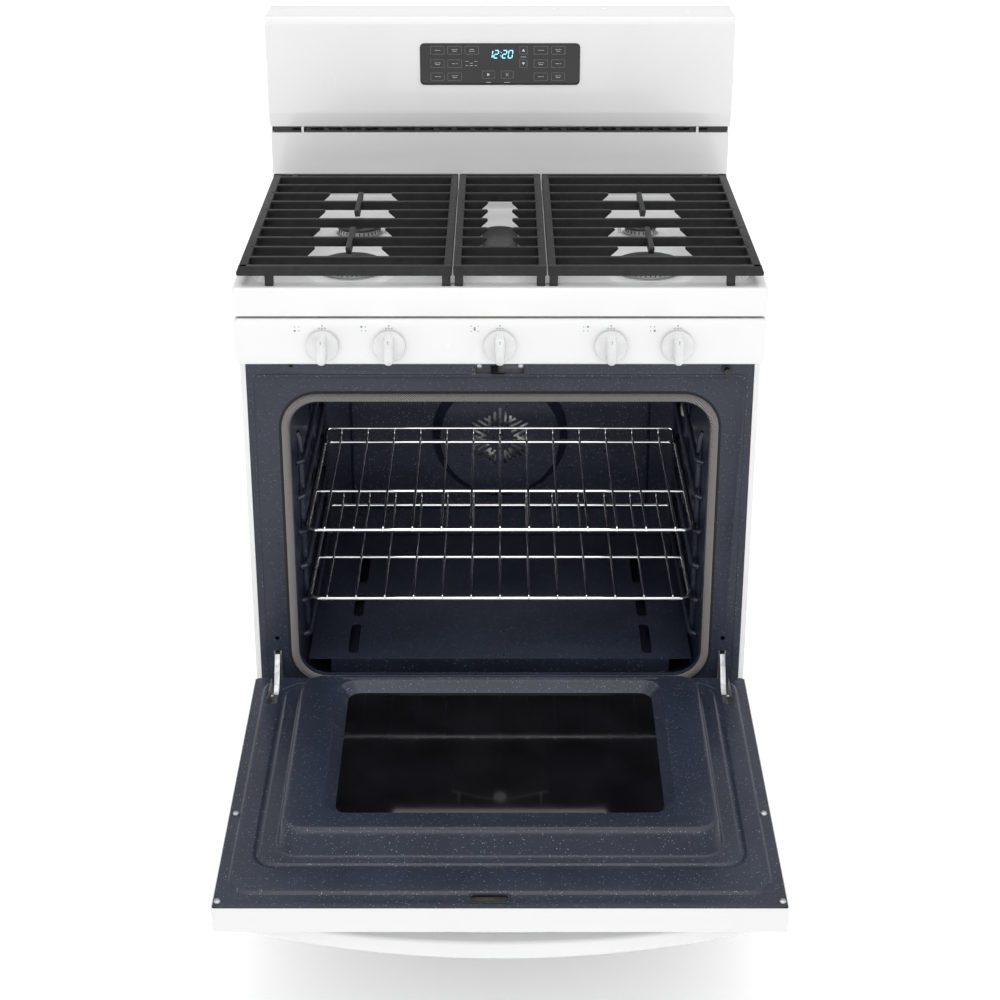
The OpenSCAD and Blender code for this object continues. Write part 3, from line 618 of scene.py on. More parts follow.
# ---------------------------------------------------------------- cooktop
def cooktop():
    o = 1.5
    cy = (y_f + y_bg) / 2 - 17
    wx, wy = hw - 24, (y_bg - y_f - 90) / 2
    rows = [(-hw + o, hw - o, y_f + o, y_bg - 1.6, 4, z_ap), (-hw, hw, y_f, y_bg - 1.5, 5, z_ap),
            (-hw, hw, y_f, y_bg - 1.5, 5, cook),
            (-wx + 0.5, wx - 0.5, cy - wy + 0.5, cy + wy - 0.5, 32.5, cook),
            (-wx + 4, wx - 4, cy - wy + 9, cy + wy - 6, 30, well_z + 0.02),
            (-wx + 34, wx - 34, cy - wy + 44, cy + wy - 34, 16, well_z + 0.02)]
    bm = flat_stack(rows, [0, 1, 7, 6, 10, 0], n=10, seg=6)
    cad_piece("cooktop_enamel", bm, "white_enamel", replaces=("cooktop",), angle=50)
    # pressed ring round each burner
    for i, (x, y, r) in enumerate(BURNERS):
        bm = turned([(r + 20, 0.03), (r + 15, 1.6), (r + 6, 2.2), (r - 8, 2.2)],
                    P(x, y, well_z), "Z", 64)
        for v in bm.verts:
            v.co.z = max(v.co.z, (well_z + 0.03) * MM)
        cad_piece(f"burner_boss_{i}", bm, "white_enamel", angle=60)


# the right grate's box sets the rows of all three grates and the burners' places
G = B["grate_right"]
g_in, g_out = G[0].x * 1000, G[1].x * 1000
g_y0, g_y1 = (G[0].y - Y0) * 1000, (G[1].y - Y0) * 1000
g_yr = g_y1 - 20
g_p = (g_yr - g_y0) / 10
g_z1 = G[1].z * 1000
g_z0 = g_z1 - 14
bx = (g_in + g_out) / 2
by_f, by_r, by_c = g_yr - 7 * g_p, g_yr - 3 * g_p, g_yr - 5 * g_p
BURNERS = [(bx, by_f, 50), (bx, by_r, 28), (-bx, by_f, 48), (-bx, by_r, 37)]


def prism(profile, axis, a, b, bev=1.4, seg=2):
    """A polygon in (y, z) pushed along x, or in (x, z) pushed along y, with rounded edges."""
    if axis == "X":
        rings = [[P(t, u, v) for u, v in profile] for t in (a, b)]
    else:
        rings = [[P(u, t, v) for u, v in profile] for t in (a, b)]
    bm = skin(rings, True, True)
    bmesh.ops.recalc_face_normals(bm, faces=bm.faces)
    bmesh.ops.bevel(bm, geom=bm.edges[:], offset=bev * MM, segments=seg, profile=0.6, affect="EDGES",
                    clamp_overlap=True)
    return bm


def block(x0, x1, y0, y1, z0, z1, bev=1.4):
    return prism([(y0, z0), (y1, z0), (y1, z1), (y0, z1)], "X", x0, x1, bev)


def finger(x0, x1, y):
    s = 1 if x1 > x0 else -1
    prof = [(x0, g_z0), (x1 - s * 12, g_z0), (x1, g_z1 - 3), (x1 - s * 2, g_z1), (x0, g_z1)]
    return prism(prof, "Y", y - 4, y + 4)


def grates():
    for side, name in ((1, "grate_right"), (-1, "grate_left")):
        a, b = side * g_in, side * g_out
        bars = []

        def xb(u, v, *rest, **kw):
            bars.append(block(min(u, v), max(u, v), *rest, **kw))
        slope = [(b, g_z0), (b, g_z0 + 5), (b - side * 4, g_z1), (b - side * 16, g_z1), (b - side * 16, g_z0)]
        bars.append(prism(slope, "Y", g_y0 + 0.4, g_y1 - 0.4, 1.6))
        xb(a, a + side * 11, g_y0 + 0.4, g_y1 - 0.4, g_z0 + 0.2, g_z1 - 0.2)
        xb(a + side * 0.4, b - side * 3, g_y0, g_y0 + 11, g_z0, g_z1)
        xb(a + side * 0.4, b - side * 3, g_y1 - 11, g_y1, g_z0, g_z1)
        xb(b - side * 42, b - side * 34, g_yr, g_y1 - 10, g_z0, g_z1)
        for i in (0, 1, 3, 5, 7, 9):
            y = g_yr - i * g_p
            xb(a + side * 6, b - side * 10, y - 4, y + 4, g_z0 + 0.1, g_z1 - 0.1)
        for i in (2, 4, 6, 8):
            y = g_yr - i * g_p
            bars.append(finger(a + side * 6, side * (bx - 48), y))
            bars.append(finger(b - side * 10, side * (bx + 48), y))
        for i in (3, 7):
            y = g_yr - i * g_p
            prof = [(y - 40, g_z0), (y + 40, g_z0), (y + 56, g_z1 - 3), (y + 54, g_z1), (y - 54, g_z1),
                    (y - 56, g_z1 - 3)]
            bars.append(prism(prof, "X", side * bx - 4, side * bx + 4))
        for x in (a + side * 8, b - side * 46):
            for y in (g_y0, g_y1 - 12):
                bars.append(block(x - 6, x + 6, y, y + 12, cook + 0.4, g_z0 + 1, 1.2))
        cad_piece(name + "_cast", merge(bars), "cast_grate", name.split("_")[1] + "_grate", (name,), angle=40)
    c = g_in - 2
    lo, hi = g_z0 + 0.2, g_z1 - 0.2
    bars = [block(-c, -c + 11, g_y0 + 0.4, g_y1 - 0.4, lo, hi),
            block(c - 11, c, g_y0 + 0.4, g_y1 - 0.4, lo, hi),
            block(-c + 0.4, c - 0.4, g_y0, g_y0 + 11, g_z0, g_z1),
            block(-c + 0.4, c - 0.4, g_y1 - 11, g_y1, g_z0, g_z1)]
    for i in (0, 1, 2, 8, 9):
        y = g_yr - i * g_p
        bars.append(block(-c + 6, c - 6, y - 4, y + 4, g_z0 + 0.1, g_z1 - 0.1))
    for i in range(3, 8):
        bars.append(finger(-c + 6, -18, g_yr - i * g_p))
        bars.append(finger(c - 6, 18, g_yr - i * g_p))
    for x in (-c + 8, c - 8):
        for y in (g_y0, g_y1 - 12):
            bars.append(block(x - 6, x + 6, y, y + 12, cook + 0.4, g_z0 + 1, 1.2))
    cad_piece("grate_center_cast", merge(bars), "cast_grate", "center_grate", ("grate_center",), angle=40)


def stadium_rows(rows, cx, cy, radii=None, seg=3, cap0=True):
    """rows of (half width, half length, z)."""
    rings = []
    for w, l, z in rows:
        rings.append([P(cx + x, cy + y, z) for x, y in rect_loop(-w, w, -l, l, w, 10)])
    if radii:
        rings = round_path(rings, [q * MM for q in radii], seg)
    return skin(rings, cap0, True)


def port(across, along, matrix, centre):
    """One flame port: a small rounded block, turned and moved into place."""
    bm = bmesh.new()
    bmesh.ops.create_cube(bm, size=1)
    bmesh.ops.scale(bm, vec=(across, along, 0.0052), verts=bm.verts)
    bmesh.ops.bevel(bm, geom=bm.edges[:], offset=0.0004, segments=1, affect="EDGES")
    bmesh.ops.rotate(bm, verts=bm.verts, cent=(0, 0, 0), matrix=matrix)
    bmesh.ops.translate(bm, verts=bm.verts, vec=centre)
    return bm


def burners():
    heads, caps, ports = [], [], []
    for x, y, r in BURNERS:
        heads.append(turned([(0, 0.1), (r, 0.1), (r, 3.4), (r - 1, 4), (r - 4, 4.2), (r - 5.5, 11.6),
                             (r - 6.5, 12), (0, 12)],
                            P(x, y, well_z), "Z", 64))
        caps.append(turned([(0, 12.02), (r - 3, 12.02), (r - 1.8, 12.8), (r - 1.6, 15.2), (r - 2.6, 16.8),
                            (r - 6, 18.2),
                            (r * 0.5, 18.9), (0, 19)], P(x, y, well_z), "Z", 64))
        n = int(r * 0.8)
        for k in range(n):
            a = 2 * math.pi * k / n
            c = P(x, y, well_z + 8) + Vector((math.cos(a), math.sin(a), 0)) * ((r - 4.75) * MM)
            ports.append(port(0.0012, 0.0016, Matrix.Rotation(a, 3, "Z"), c))
    heads.append(stadium_rows([(30, 89, well_z + 0.1), (30, 89, well_z + 4), (27, 86, well_z + 4.3),
                               (26, 84, well_z + 12)], 0, by_c, [0, 0.8, 0.8, 0]))
    caps.append(stadium_rows([(27, 85, well_z + 12.02), (28, 86, well_z + 13), (28, 86, well_z + 16.5),
                              (25, 83, well_z + 18.4), (14, 72, well_z + 18.5)], 0, by_c,
                             [0, 0.6, 1.2, 1.2, 0]))
    for s in (-1, 1):
        for k in range(17):
            ports.append(port(0.0014, 0.0014, Matrix.Identity(3), P(s * 26.5, by_c - 56 + k * 7, well_z + 8)))
    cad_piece("burner_heads_cast", merge(heads), "burner_alu", replaces=("burner_heads",))
    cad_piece("burner_caps_enamel", merge(caps), "black_cap", replaces=("burner_caps",), angle=40)
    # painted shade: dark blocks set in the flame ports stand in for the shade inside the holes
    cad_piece("burner_port_shade", merge(ports), "burner_alu", mat=SHADOW)


# ---------------------------------------------------------------- panels
def front_panel():
    rows = [(-hw + 1.5, hw - 1.5, z_pb + 1.5, z_pt - 1.5, 6, -0.5), (-hw, hw, z_pb, z_pt, 8, -0.5),
            (-hw, hw, z_pb, z_pt, 8, y_f), (-hw + 14, hw - 14, z_pb + 14, z_pt - 14, 2, y_f)]
    bm = stack(rows, [0, 0.6, 5, 0], n=8, seg=5)
    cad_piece("knob_panel_enamel", bm, "white_enamel", replaces=("manifold_panel",), angle=50)
    for i, x in enumerate(KNOB_X):
        bm = turned([(9, 0.1), (9, -0.2), (18.5, -0.34), (20.5, -0.3), (21, 0.1)], P(x, y_f, k_z), "Y", 48)
        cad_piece(f"knob_seat_{i + 1}", bm, "white_enamel", angle=60)


def panel_marks():
    bms = []
    yp = y_f - 0.12
    for i, x in enumerate(KNOB_X):
        bms.append(turned([(0, -0.12), (1.1, -0.12), (1.2, 0.1)], P(x, y_f, k_z + 29), "Y", 16))
        for dx in (-4.2, 0, 4.2):
            bms.append(slab(x + dx - 1.5, x + dx + 1.5, k_z + 25.0, k_z + 25.9, 0.3, y_f + 0.1, yp, 0.1, n=2))
        ix, iz = x - 36, k_z + 24.5
        for k, (dx, dz) in enumerate(((-3, 3), (3, 3), (-3, -3), (3, -3))):
            lit = (i == 0 and k == 2) or (i == 1 and k == 0) or (i == 3 and k == 1) or (i == 4 and k == 3)
            if i == 2:
                continue
            s = 1.5 if lit else 0.8
            bms.append(slab(ix + dx - s, ix + dx + s, iz + dz - s, iz + dz + s, 0.5, y_f + 0.1, yp, 0.1, n=2))
        if i == 2:
            bms.append(slab(ix - 1.5, ix + 1.5, iz - 3, iz + 3, 1.4, y_f + 0.1, yp, 0.1, n=3))
            for dx, dz in ((-5, 4), (5, 4), (-5, -4), (5, -4)):
                bms.append(slab(ix + dx - .8, ix + dx + .8, iz + dz - .8, iz + dz + .8, 0.4, y_f + 0.1, yp,
                                0.1, n=2))
    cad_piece("knob_panel_marks", merge(bms), "white_enamel", mat=PRINT_DARK)


def knobs():
    for i, x in enumerate(KNOB_X):
        kb = y_f - 3.5
        bm = turned([(4.3, 0), (21, 0), (23, -0.8), (23.4, -2), (23.1, -5), (22.2, -6.5), (20.5, -7),
                     (14, -7.4), (0, -7.4)],
                    P(x, kb, k_z), "Y", 64)
        rows = []
        for l, w, d in ((21.5, 7.6, -6.5), (20.6, 7.0, -12), (19.6, 6.6, -30.5), (13, 2.0, -33)):
            rows.append([P(x + u, kb + d, k_z + v) for u, v in rect_loop(-w, w, -l, l, w * 0.92, 6)])
        grip = skin(round_path(rows, [0, 0.003, 0.003, 0], 4), False, True)
        name = f"knob_{i + 1}_moulded"
        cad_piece(name, merge([bm, grip]), "white_knob", f"control_knob_{i + 1}", (f"knob_{i + 1}",), angle=40)
        line = slab(x - 0.7, x + 0.7, k_z + 12.5, k_z + 18.2, 0.6, kb - 31.2, kb - 32.85, 0.15, n=2)
        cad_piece(f"knob_{i + 1}_pointer", line, "white_knob", f"control_knob_{i + 1}", mat=PRINT_GREY)


def profile_bar(profile, x0, x1, radius, fil, name, slot, replaces):
    """A bar along x with a rounded (y, z) profile and rounded ends."""
    pts = [Vector((0, y, z)) for y, z in profile]
    n = len(pts)
    loop = []
    for i in range(n):
        a, b, c = pts[i - 1], pts[i], pts[(i + 1) % n]
        va, vc = (a - b).normalized() * fil, (c - b).normalized() * fil
        for k in range(5):
            t = k / 4
            loop.append((b + va) * (1 - t) ** 2 + b * 2 * t * (1 - t) + (b + vc) * t ** 2)
    mid = sum(loop, Vector()) / len(loop)

    def ring(x, inset):
        out = []
        for p in loop:
            d = p - mid
            q = p - Vector((0, math.copysign(min(inset, abs(d.y)), d.y),
                            math.copysign(min(inset, abs(d.z)), d.z)))
            out.append(P(x, q.y, q.z))
        return out
    rings = []
    for k in range(5):
        a = math.radians(90 * k / 4)
        rings.append(ring(x0 + radius * (1 - math.cos(a)), radius * (1 - math.sin(a))))
    for k in range(5):
        a = math.radians(90 * (4 - k) / 4)
        rings.append(ring(x1 - radius * (1 - math.cos(a)), radius * (1 - math.sin(a))))
    bm = skin(rings, True, True)
    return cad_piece(name, bm, slot, replaces=replaces, angle=35)


def backguard():
    z0 = back - 179
    bgx = hw - 2
    prof = [(y_bg - 2, z0), (y_bg - 11, z0 + 25), (y_bg - 11, back - 10), (y_bg - 4, back),
            (y_r - 1.6, back), (y_r - 1.6, z0)]
    profile_bar(prof, -bgx, bgx, 2.2, 3.0, "backguard_hood", "white_enamel", ("backguard_upper",))
    refine("backguard_lower", 0.0006)
    gy = y_bg - 12.8
    cz = back - 74.5
    rows = [(-129, 129, cz - 33.5, cz + 33.5, 7, y_bg - 11), (-129, 129, cz - 33.5, cz + 33.5, 7, gy),
            (-126, 126, cz - 30.5, cz + 30.5, 5, gy)]
    bm = stack(rows, [0, 0.8, 0], n=8, seg=4, cap0=True)
    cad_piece("control_glass_face", bm, "black_glass", replaces=("control_glass",), angle=50)
    display(gy, cz)


SEGMENTS = {"0": "abcdef", "1": "bc", "2": "abged"}


def display(gy, cz):
    """Touch areas, generic marks and a clock, printed on the glass."""
    left, top = -129.0, cz + 33.5

    def across(mm):
        """Millimetres from the glass's left edge."""
        return left + mm

    def down(mm):
        """Millimetres from the glass's top edge."""
        return top - mm
    frames, labels, lit = [], [], []

    def outline(x0, x1, z0, z1, r=1.4, w=0.32):
        ring = [(x0, x1, z0, z1, r, gy + 0.02), (x0, x1, z0, z1, r, gy - 0.08),
                (x0 + w, x1 - w, z0 + w, z1 - w, r - w * 0.7, gy - 0.08),
                (x0 + w, x1 - w, z0 + w, z1 - w, r - w * 0.7, gy + 0.02)]
        frames.append(stack(ring, None, n=3, cap1=False))

    def plate(points, proud=0.08):
        """A flat print, from corner points in (x, z)."""
        return skin([[P(x, gy + depth, z) for x, z in points] for depth in (0.02, -proud)], True, True)

    def dash(cx, cy, w, h=0.62):
        labels.append(slab(cx - w / 2, cx + w / 2, cy - h / 2, cy + h / 2, h * 0.3, gy + 0.02, gy - 0.08,
                           0.1, n=2))
    rows = [(4.58, 17.46), (26.10, 38.98), (47.29, 59.66)]
    cols = [(17.12, 39.15), (44.58, 67.12), (183.74, 206.11), (211.88, 233.57)]
    for ci, (a, b) in enumerate(cols):
        for ri, (c, d) in enumerate(rows):
            x0, x1, z1, z0 = across(a), across(b), down(c), down(d)
            outline(x0, x1, z0, z1)
            mid = (x0 + x1) / 2
            if (ci + ri) % 2:
                dash(mid - 2.3, (z0 + z1) / 2 + 1.3, 5.0)
                dash(mid + 3.0, (z0 + z1) / 2 + 1.3, 3.6)
                dash(mid, (z0 + z1) / 2 - 1.5, 7.0)
            else:
                dash(mid - 1.6, (z0 + z1) / 2, 5.6)
                dash(mid + 3.6, (z0 + z1) / 2, 2.8)
    x0, x1, z1, z0 = across(72.55), across(94.75), down(4.58), down(17.46)
    outline(x0, x1, z0, z1)
    dash((x0 + x1) / 2, (z0 + z1) / 2 + 1.3, 7)
    dash((x0 + x1) / 2, (z0 + z1) / 2 - 1.5, 9)
    for j in range(3):
        dash(across(75.60 + j * 7.12), down(28.82 + (j % 2) * 3.05), 5.2, 0.5)
        dash(across(75.60 + j * 7.12), down(35.60), 4.6, 0.5)
    for ri in (0, 1):
        c, d = rows[ri]
        outline(across(160.69), across(173.06), down(d), down(c))
        s = 1 if ri == 0 else -1
        ax, az = across(166.79), (down(c) + down(d)) / 2
        labels.append(plate([(ax - 2.6, az - 2.0 * s), (ax + 2.6, az - 2.0 * s), (ax, az + 2.4 * s)]))
    dash(across(166.79), down(21.70), 9, 0.6)
    for a, b in ((100.68, 120.51), (130.68, 150.52)):
        outline(across(a), across(b), down(56.27), down(44.07))
    ax, az = across(110.51), down(50.17)
    labels.append(plate([(ax - 2.2, az - 2.6), (ax - 2.2, az + 2.6), (ax + 2.6, az)]))
    ax = across(140.52)
    for s in (-1, 1):
        labels.append(plate([(ax - 2.4, az - 2.4 * s), (ax - 1.9, az - 2.6 * s), (ax + 2.4, az + 2.4 * s),
                             (ax + 1.9, az + 2.6 * s)]))
    dash(across(110.51), down(62.72), 8, 0.6)
    dash(across(140.52), down(62.72), 9, 0.6)
    # the clock: seven-segment digits that lean by a fixed slope

    def seg(x, z, kind, h):
        w, t = h * 0.52, h * 0.115
        g = t * 0.28
        parts = {"a": (0, h, w, h), "g": (0, h / 2, w, h / 2), "d": (0, 0, w, 0),
                 "f": (0, h / 2, 0, h), "b": (w, h / 2, w, h), "e": (0, 0, 0, h / 2), "c": (w, 0, w, h / 2)}
        for name in SEGMENTS[kind]:
            xa, za, xb, zb = parts[name]
            if za == zb:
                quad = [(xa + g, za), (xa + g + t / 2, za + t / 2), (xb - g - t / 2, za + t / 2),
                        (xb - g, za),
                        (xb - g - t / 2, za - t / 2), (xa + g + t / 2, za - t / 2)]
            else:
                quad = [(xa, za + g), (xa + t / 2, za + g + t / 2), (xa + t / 2, zb - g - t / 2),
                        (xa, zb - g),
                        (xa - t / 2, zb - g - t / 2), (xa - t / 2, za + g + t / 2)]
            lit.append(plate([(x + u + v * SLANT, z + v) for u, v in quad], 0.10))
    h = 12.13
    zc = down(23.39)
    pen = across(113.23)
    for ch in "12:20":
        if ch == ":":
            for k in (0.28, 0.72):
                lit.append(slab(pen + 0.2 + h * k * SLANT, pen + 1.5 + h * k * SLANT, zc + h * k - 0.65,
                                zc + h * k + 0.65, 0.5,
                                gy + 0.02, gy - 0.10, 0.1, n=2))
            pen += 3.6
        else:
            seg(pen - (h * 0.3 if ch == "1" else 0), zc, ch, h)
            pen += h * (0.46 if ch == "1" else 0.80)
    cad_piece("touch_outlines", merge(frames), "black_glass", mat=PRINT_DARK)
    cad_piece("touch_marks", merge(labels), "black_glass", mat=PRINT_LIGHT)
    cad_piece("clock_segments", merge(lit), "black_glass", mat=DIGITS)


# ---------------------------------------------------------------- oven
def cavity():
    rows = [(-mx, mx, fl_z, mz1, 42, 2.2), (-mx, mx, fl_z, mz1, 42, cav_y - 1.6),
            (-mx + 50, mx - 50, mz0 + 64, mz1 - 60, 16, cav_y - 1.6),
            (-mx + 53, mx - 53, mz0 + 67, mz1 - 63, 14, cav_y - 5),
            (-mx + 80, mx - 80, mz0 + 94, mz1 - 90, 8, cav_y - 5)]
    bm = stack(rows, [0, 26, 2.5, 2.5, 0], n=10, seg=6)
    bms = [bm]
    rz, rp = RACK_Z, RUNNER_PITCH
    for i in range(6):
        z = rz - 62.75 + i * rp - 4.6
        for s in (-1, 1):
            pts = fillet_line([P(s * (mx + 1), 58, z), P(s * (mx - 10), 66, z),
                               P(s * (mx - 10), cav_y - 42, z),
                               P(s * (mx + 1), cav_y - 34, z)], 0.012, 5)
            bms.append(wire(pts, 0.0044, seg=12))
    # upright emboss joining the guides
    for s in (-1, 1):
        for y in (92, 300):
            bms.append(wire(fillet_line([P(s * (mx + 2), y, rz - 90), P(s * (mx - 3), y, rz - 76),
                                         P(s * (mx - 3), y, rz + 250),
                                         P(s * (mx + 2), y, rz + 262)], 0.01, 4), 0.0062, seg=12))
    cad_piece("oven_cavity_enamel", merge(bms), "blue_porcelain", replaces=("oven_cavity",), angle=60)
    lip = stack([(-mx - 9, mx + 9, mz0 - 9, mz1 + 9, 49, -0.06),
                 (-mx - 1, mx + 1, mz0 - 1, mz1 + 1, 43, -0.4),
                 (-mx + 0.3, mx - 0.3, mz0 + 0.3, mz1 - 0.3, 42, 7)], [0, 1.2, 0], n=10, cap1=False)
    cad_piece("oven_mouth_lip", lip, "blue_porcelain", angle=60)


def gasket():
    rows = []
    for k in range(9):
        a = math.pi * k / 8
        d = 7.25 + 5.75 * math.cos(a)
        y = -0.05 - 5.5 * math.sin(a) ** 0.8
        rows.append((-mx - d, mx + d, mz0 - d, mz1 + d, 42 + d, y))
    bm = stack(rows, None, n=14, cap1=False)
    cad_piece("door_gasket_braid", bm, "gasket", replaces=("door_gasket",), angle=60)
    # painted shadow: a dark ring sheet round the gasket stands in for the shade in its groove
    groove_shade = stack([(-mx - 17, mx + 17, mz0 - 17, mz1 + 17, 59, -0.10),
                    (-mx - 13, mx + 13, mz0 - 13, mz1 + 13, 55, -0.10)],
                   None, n=14, cap1=False)
    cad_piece("gasket_shadow_line", groove_shade, "blue_porcelain", mat=SHADOW)


RACK_Z = (B["rack_lower"][0].z * 1000) + 3.5
RACK_P = (B["rack_upper"][0].z - B["rack_lower"][0].z) * 1000


def racks():
    rx = B["rack_lower"][1].x * 1000
    y0 = (B["rack_lower"][0].y - Y0) * 1000 + 4.5
    y1 = (B["rack_lower"][1].y - Y0) * 1000 - 25
    for name, z in (("rack_lower", RACK_Z), ("rack_upper", RACK_Z + RACK_P)):
        bms = []
        a = rx - 3.5
        loop = fillet_line([P(0, y0, z), P(a, y0, z), P(a, y1, z), P(-a, y1, z), P(-a, y0, z), P(0, y0, z)],
                           0.018, 8)
        bms.append(wire(loop[:-1], 0.0034, closed=True, seg=16))
        bms.append(wire([P(-a, y0 + 150, z), P(a, y0 + 150, z)], 0.0031, seg=16))
        wz = z + 3.2 + 2 - 0.6
        for i in range(-6, 7):
            x = i * (rx - 30) / 6
            pts = fillet_line([P(x, y0 - 1.5, z - 1.0), P(x, y0 - 1.0, wz), P(x, y1 + 21.5, wz),
                               P(x, y1 + 21.5, wz + 12)], 0.006, 5)
            bms.append(wire(pts, 0.0020, seg=12))
        stop = fillet_line([P(-rx + 12, y1 + 21.5, wz + 12), P(rx - 12, y1 + 21.5, wz + 12)], 0.01, 2)
        bms.append(wire(stop, 0.0028, seg=12))
        for s in (-1, 1):
            pts = fillet_line([P(s * (rx - 12), y1 + 21.5, wz + 12), P(s * (rx - 5), y1 + 19, wz + 10),
                               P(s * a, y1 - 6, z)], 0.005, 4)
            bms.append(wire(pts, 0.0028, seg=12))
        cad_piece(name + "_wire", merge(bms), "rack_chrome",
                 "lower_rack" if name == "rack_lower" else "upper_rack",
                 (name,), angle=60)


def frame_details():
    screws = []
    for x, z in ((-30, hook_z + 6), (30, hook_z + 6)):
        screws.append(turned([(0, -3.0), (2.2, -3.0), (3.6, -2.2), (4.0, -1.2), (4.0, -0.2)], P(x, 0, z),
                             "Y", 24))
    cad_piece("frame_screws", merge(screws), "galvanised")
    bm = turned([(7.5, -0.2), (7.5, -1.6), (6.8, -2.2), (3.9, -2.2), (3.9, -0.2)], P(mx + 21, 0, hook_z),
                "Y", 32)
    key = stack([(mx + 19, mx + 23, hook_z - 15, hook_z - 5, 1.8, -0.1),
                 (mx + 19, mx + 23, hook_z - 15, hook_z - 5, 1.8, -1.6),
                 (mx + 19.6, mx + 22.4, hook_z - 14, hook_z - 6, 1.2, -1.9)], [0, 0.3, 0], n=4)
    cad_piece("door_switch_bezel", merge([bm, key]), "black_plastic")
    bm = stack([(-44, 44, hook_z - 9.5, hook_z + 11, 3, -0.1), (-44, 44, hook_z - 9.5, hook_z + 11, 3, -0.9),
                (-36, 36, hook_z - 6, hook_z + 6, 2, -0.9), (-36, 36, hook_z - 6, hook_z + 6, 2, 1)],
               [0, 0.4, 0.4, 0], n=5, cap1=False)
    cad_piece("latch_trim", bm, "galvanised", mat=MATS["blue_porcelain"])


# ---------------------------------------------------------------- door
def door():
    lx = hw - 3.2
    wo = 16
    rows = [(-lx, lx, z_db + 2, z_dt - 2, 6, -10.5), (-lx, lx, z_db + 2, z_dt - 2, 6, -9),
            (-mx - 52, mx + 52, z_db + 4, z_dt - 28, 35, -9),
            (-mx - 49, mx + 49, z_db + 7, z_dt - 31, 32, -6.2),
            (-mx - 24, mx + 24, mz0 - 10, mz1 - 8, 36, -6.2),
            (-mx - 21, mx + 21, mz0 - 7, mz1 - 11, 33, -7.8),
            (-mx - 17, mx + 17, mz0 - 3, mz1 - 16, 30, -7.8),
            (-mx - 14, mx + 14, mz0, mz1 - 19, 28, -6),
            (-plug_x - 6, plug_x + 6, mz0 + 10, plug_z1 + 27, 34, -6),
            (-plug_x - 1, plug_x + 1, mz0 + 13, plug_z1 + 6, 31, 19),
            (-plug_x + 2, plug_x - 2, mz0 + 15, plug_z1 - 1, 29, 22),
            (-win_x - wo, win_x + wo, win_z0 - wo, win_z1 + wo, 33, 22),
            (-win_x - wo + 2, win_x + wo - 2, win_z0 - wo + 2, win_z1 + wo - 2, 31, 20.6),
            (-win_x - 2, win_x + 2, win_z0 - 2, win_z1 + 2, 22, 9.6),
            (-win_x, win_x, win_z0, win_z1, 20, 8.1)]
    bm = stack(rows, [0, 0.7, 2.5, 2.5, 1.6, 1.6, 1.6, 1.6, 4, 6, 4, 2.0, 2.0, 2.5, 0], n=10, seg=5,
               cap1=False)
    rib = stack([(-win_x - 12, win_x + 12, mz0 + 18, mz0 + 26, 3.9, 21.9),
                 (-win_x - 10.5, win_x + 10.5, mz0 + 19.5, mz0 + 24.5, 2.4, 23.9),
                 (-win_x - 10, win_x + 10, mz0 + 21, mz0 + 23, 0.9, 23.9)], [0, 1.2, 0], n=6)
    slots = [((arm_x - 8, arm_x + 8), (-60, 30), (z_db - 5, 250 + 68)),
             ((-arm_x - 8, -arm_x + 8), (-60, 30), (z_db - 5, 250 + 68)),
             ((-38, 10), (-12, -5), (hook_z - 7, hook_z + 7))]
    bm = merge([bm, rib])
    bisect_cut(bm, slots, True)
    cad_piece("door_liner_enamel", bm, "blue_porcelain", "oven_door", ("door_liner",), angle=55)
    # white outer panel
    ox = hw - 1.5
    rows = [(-ox + 1.4, ox - 1.4, z_db + 1.4, z_dt - 1.4, 3, -10.5), (-ox, ox, z_db, z_dt, 4, -10.5),
            (-ox, ox, z_db, z_dt, 4, -50),
            (-win_x - 22, win_x + 22, win_z0 + 2, win_z1 + 28, 17, -50),
            (-win_x - 19, win_x + 19, win_z0 + 5, win_z1 + 25, 15, -49.2),
            (-win_x - 18, win_x + 18, win_z0 + 6, win_z1 + 24, 14, -48.4)]
    bm = stack(rows, [0, 0.5, 3.5, 1.0, 0.8, 0], n=8, seg=5, cap1=False)
    bisect_cut(bm, [((arm_x - 8, arm_x + 8), (-47, -4), (z_db - 2, z_db + 3)),
                    ((-arm_x - 8, -arm_x + 8), (-47, -4), (z_db - 2, z_db + 3))], True)
    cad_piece("door_panel_enamel", bm, "white_enamel", "oven_door", ("door_outer_panel",), angle=50,
             mat=DOOR_WHITE_SHADED)
    # screws on the liner
    screws = []
    for x, z in ((-mx - 57, 590), (mx + 57, 590), (-mx - 60, 781), (mx + 60, 781)):
        bm = turned([(0, 3.0), (2.4, 3.0), (4.2, 2.2), (4.8, 0.9), (4.8, 0.05)], P(x, -9, z), "Y", 24)
        for v in bm.verts:
            v.co = opened(v.co)
        screws.append(bm)
    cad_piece("door_screws", merge(screws), "galvanised", "oven_door")
    # latch slot lip
    lip = stack([(-42, 14, hook_z - 10, hook_z + 10, 6, -8.95), (-42, 14, hook_z - 10, hook_z + 10, 6, -7.9),
                 (-38, 10, hook_z - 7, hook_z + 7, 5, -7.9), (-38, 10, hook_z - 7, hook_z + 7, 5, -13)],
                [0, 0.6, 0.6, 0], door_point, 5, cap1=False)
    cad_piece("latch_slot_lip", lip, "blue_porcelain", "oven_door")
    handle()


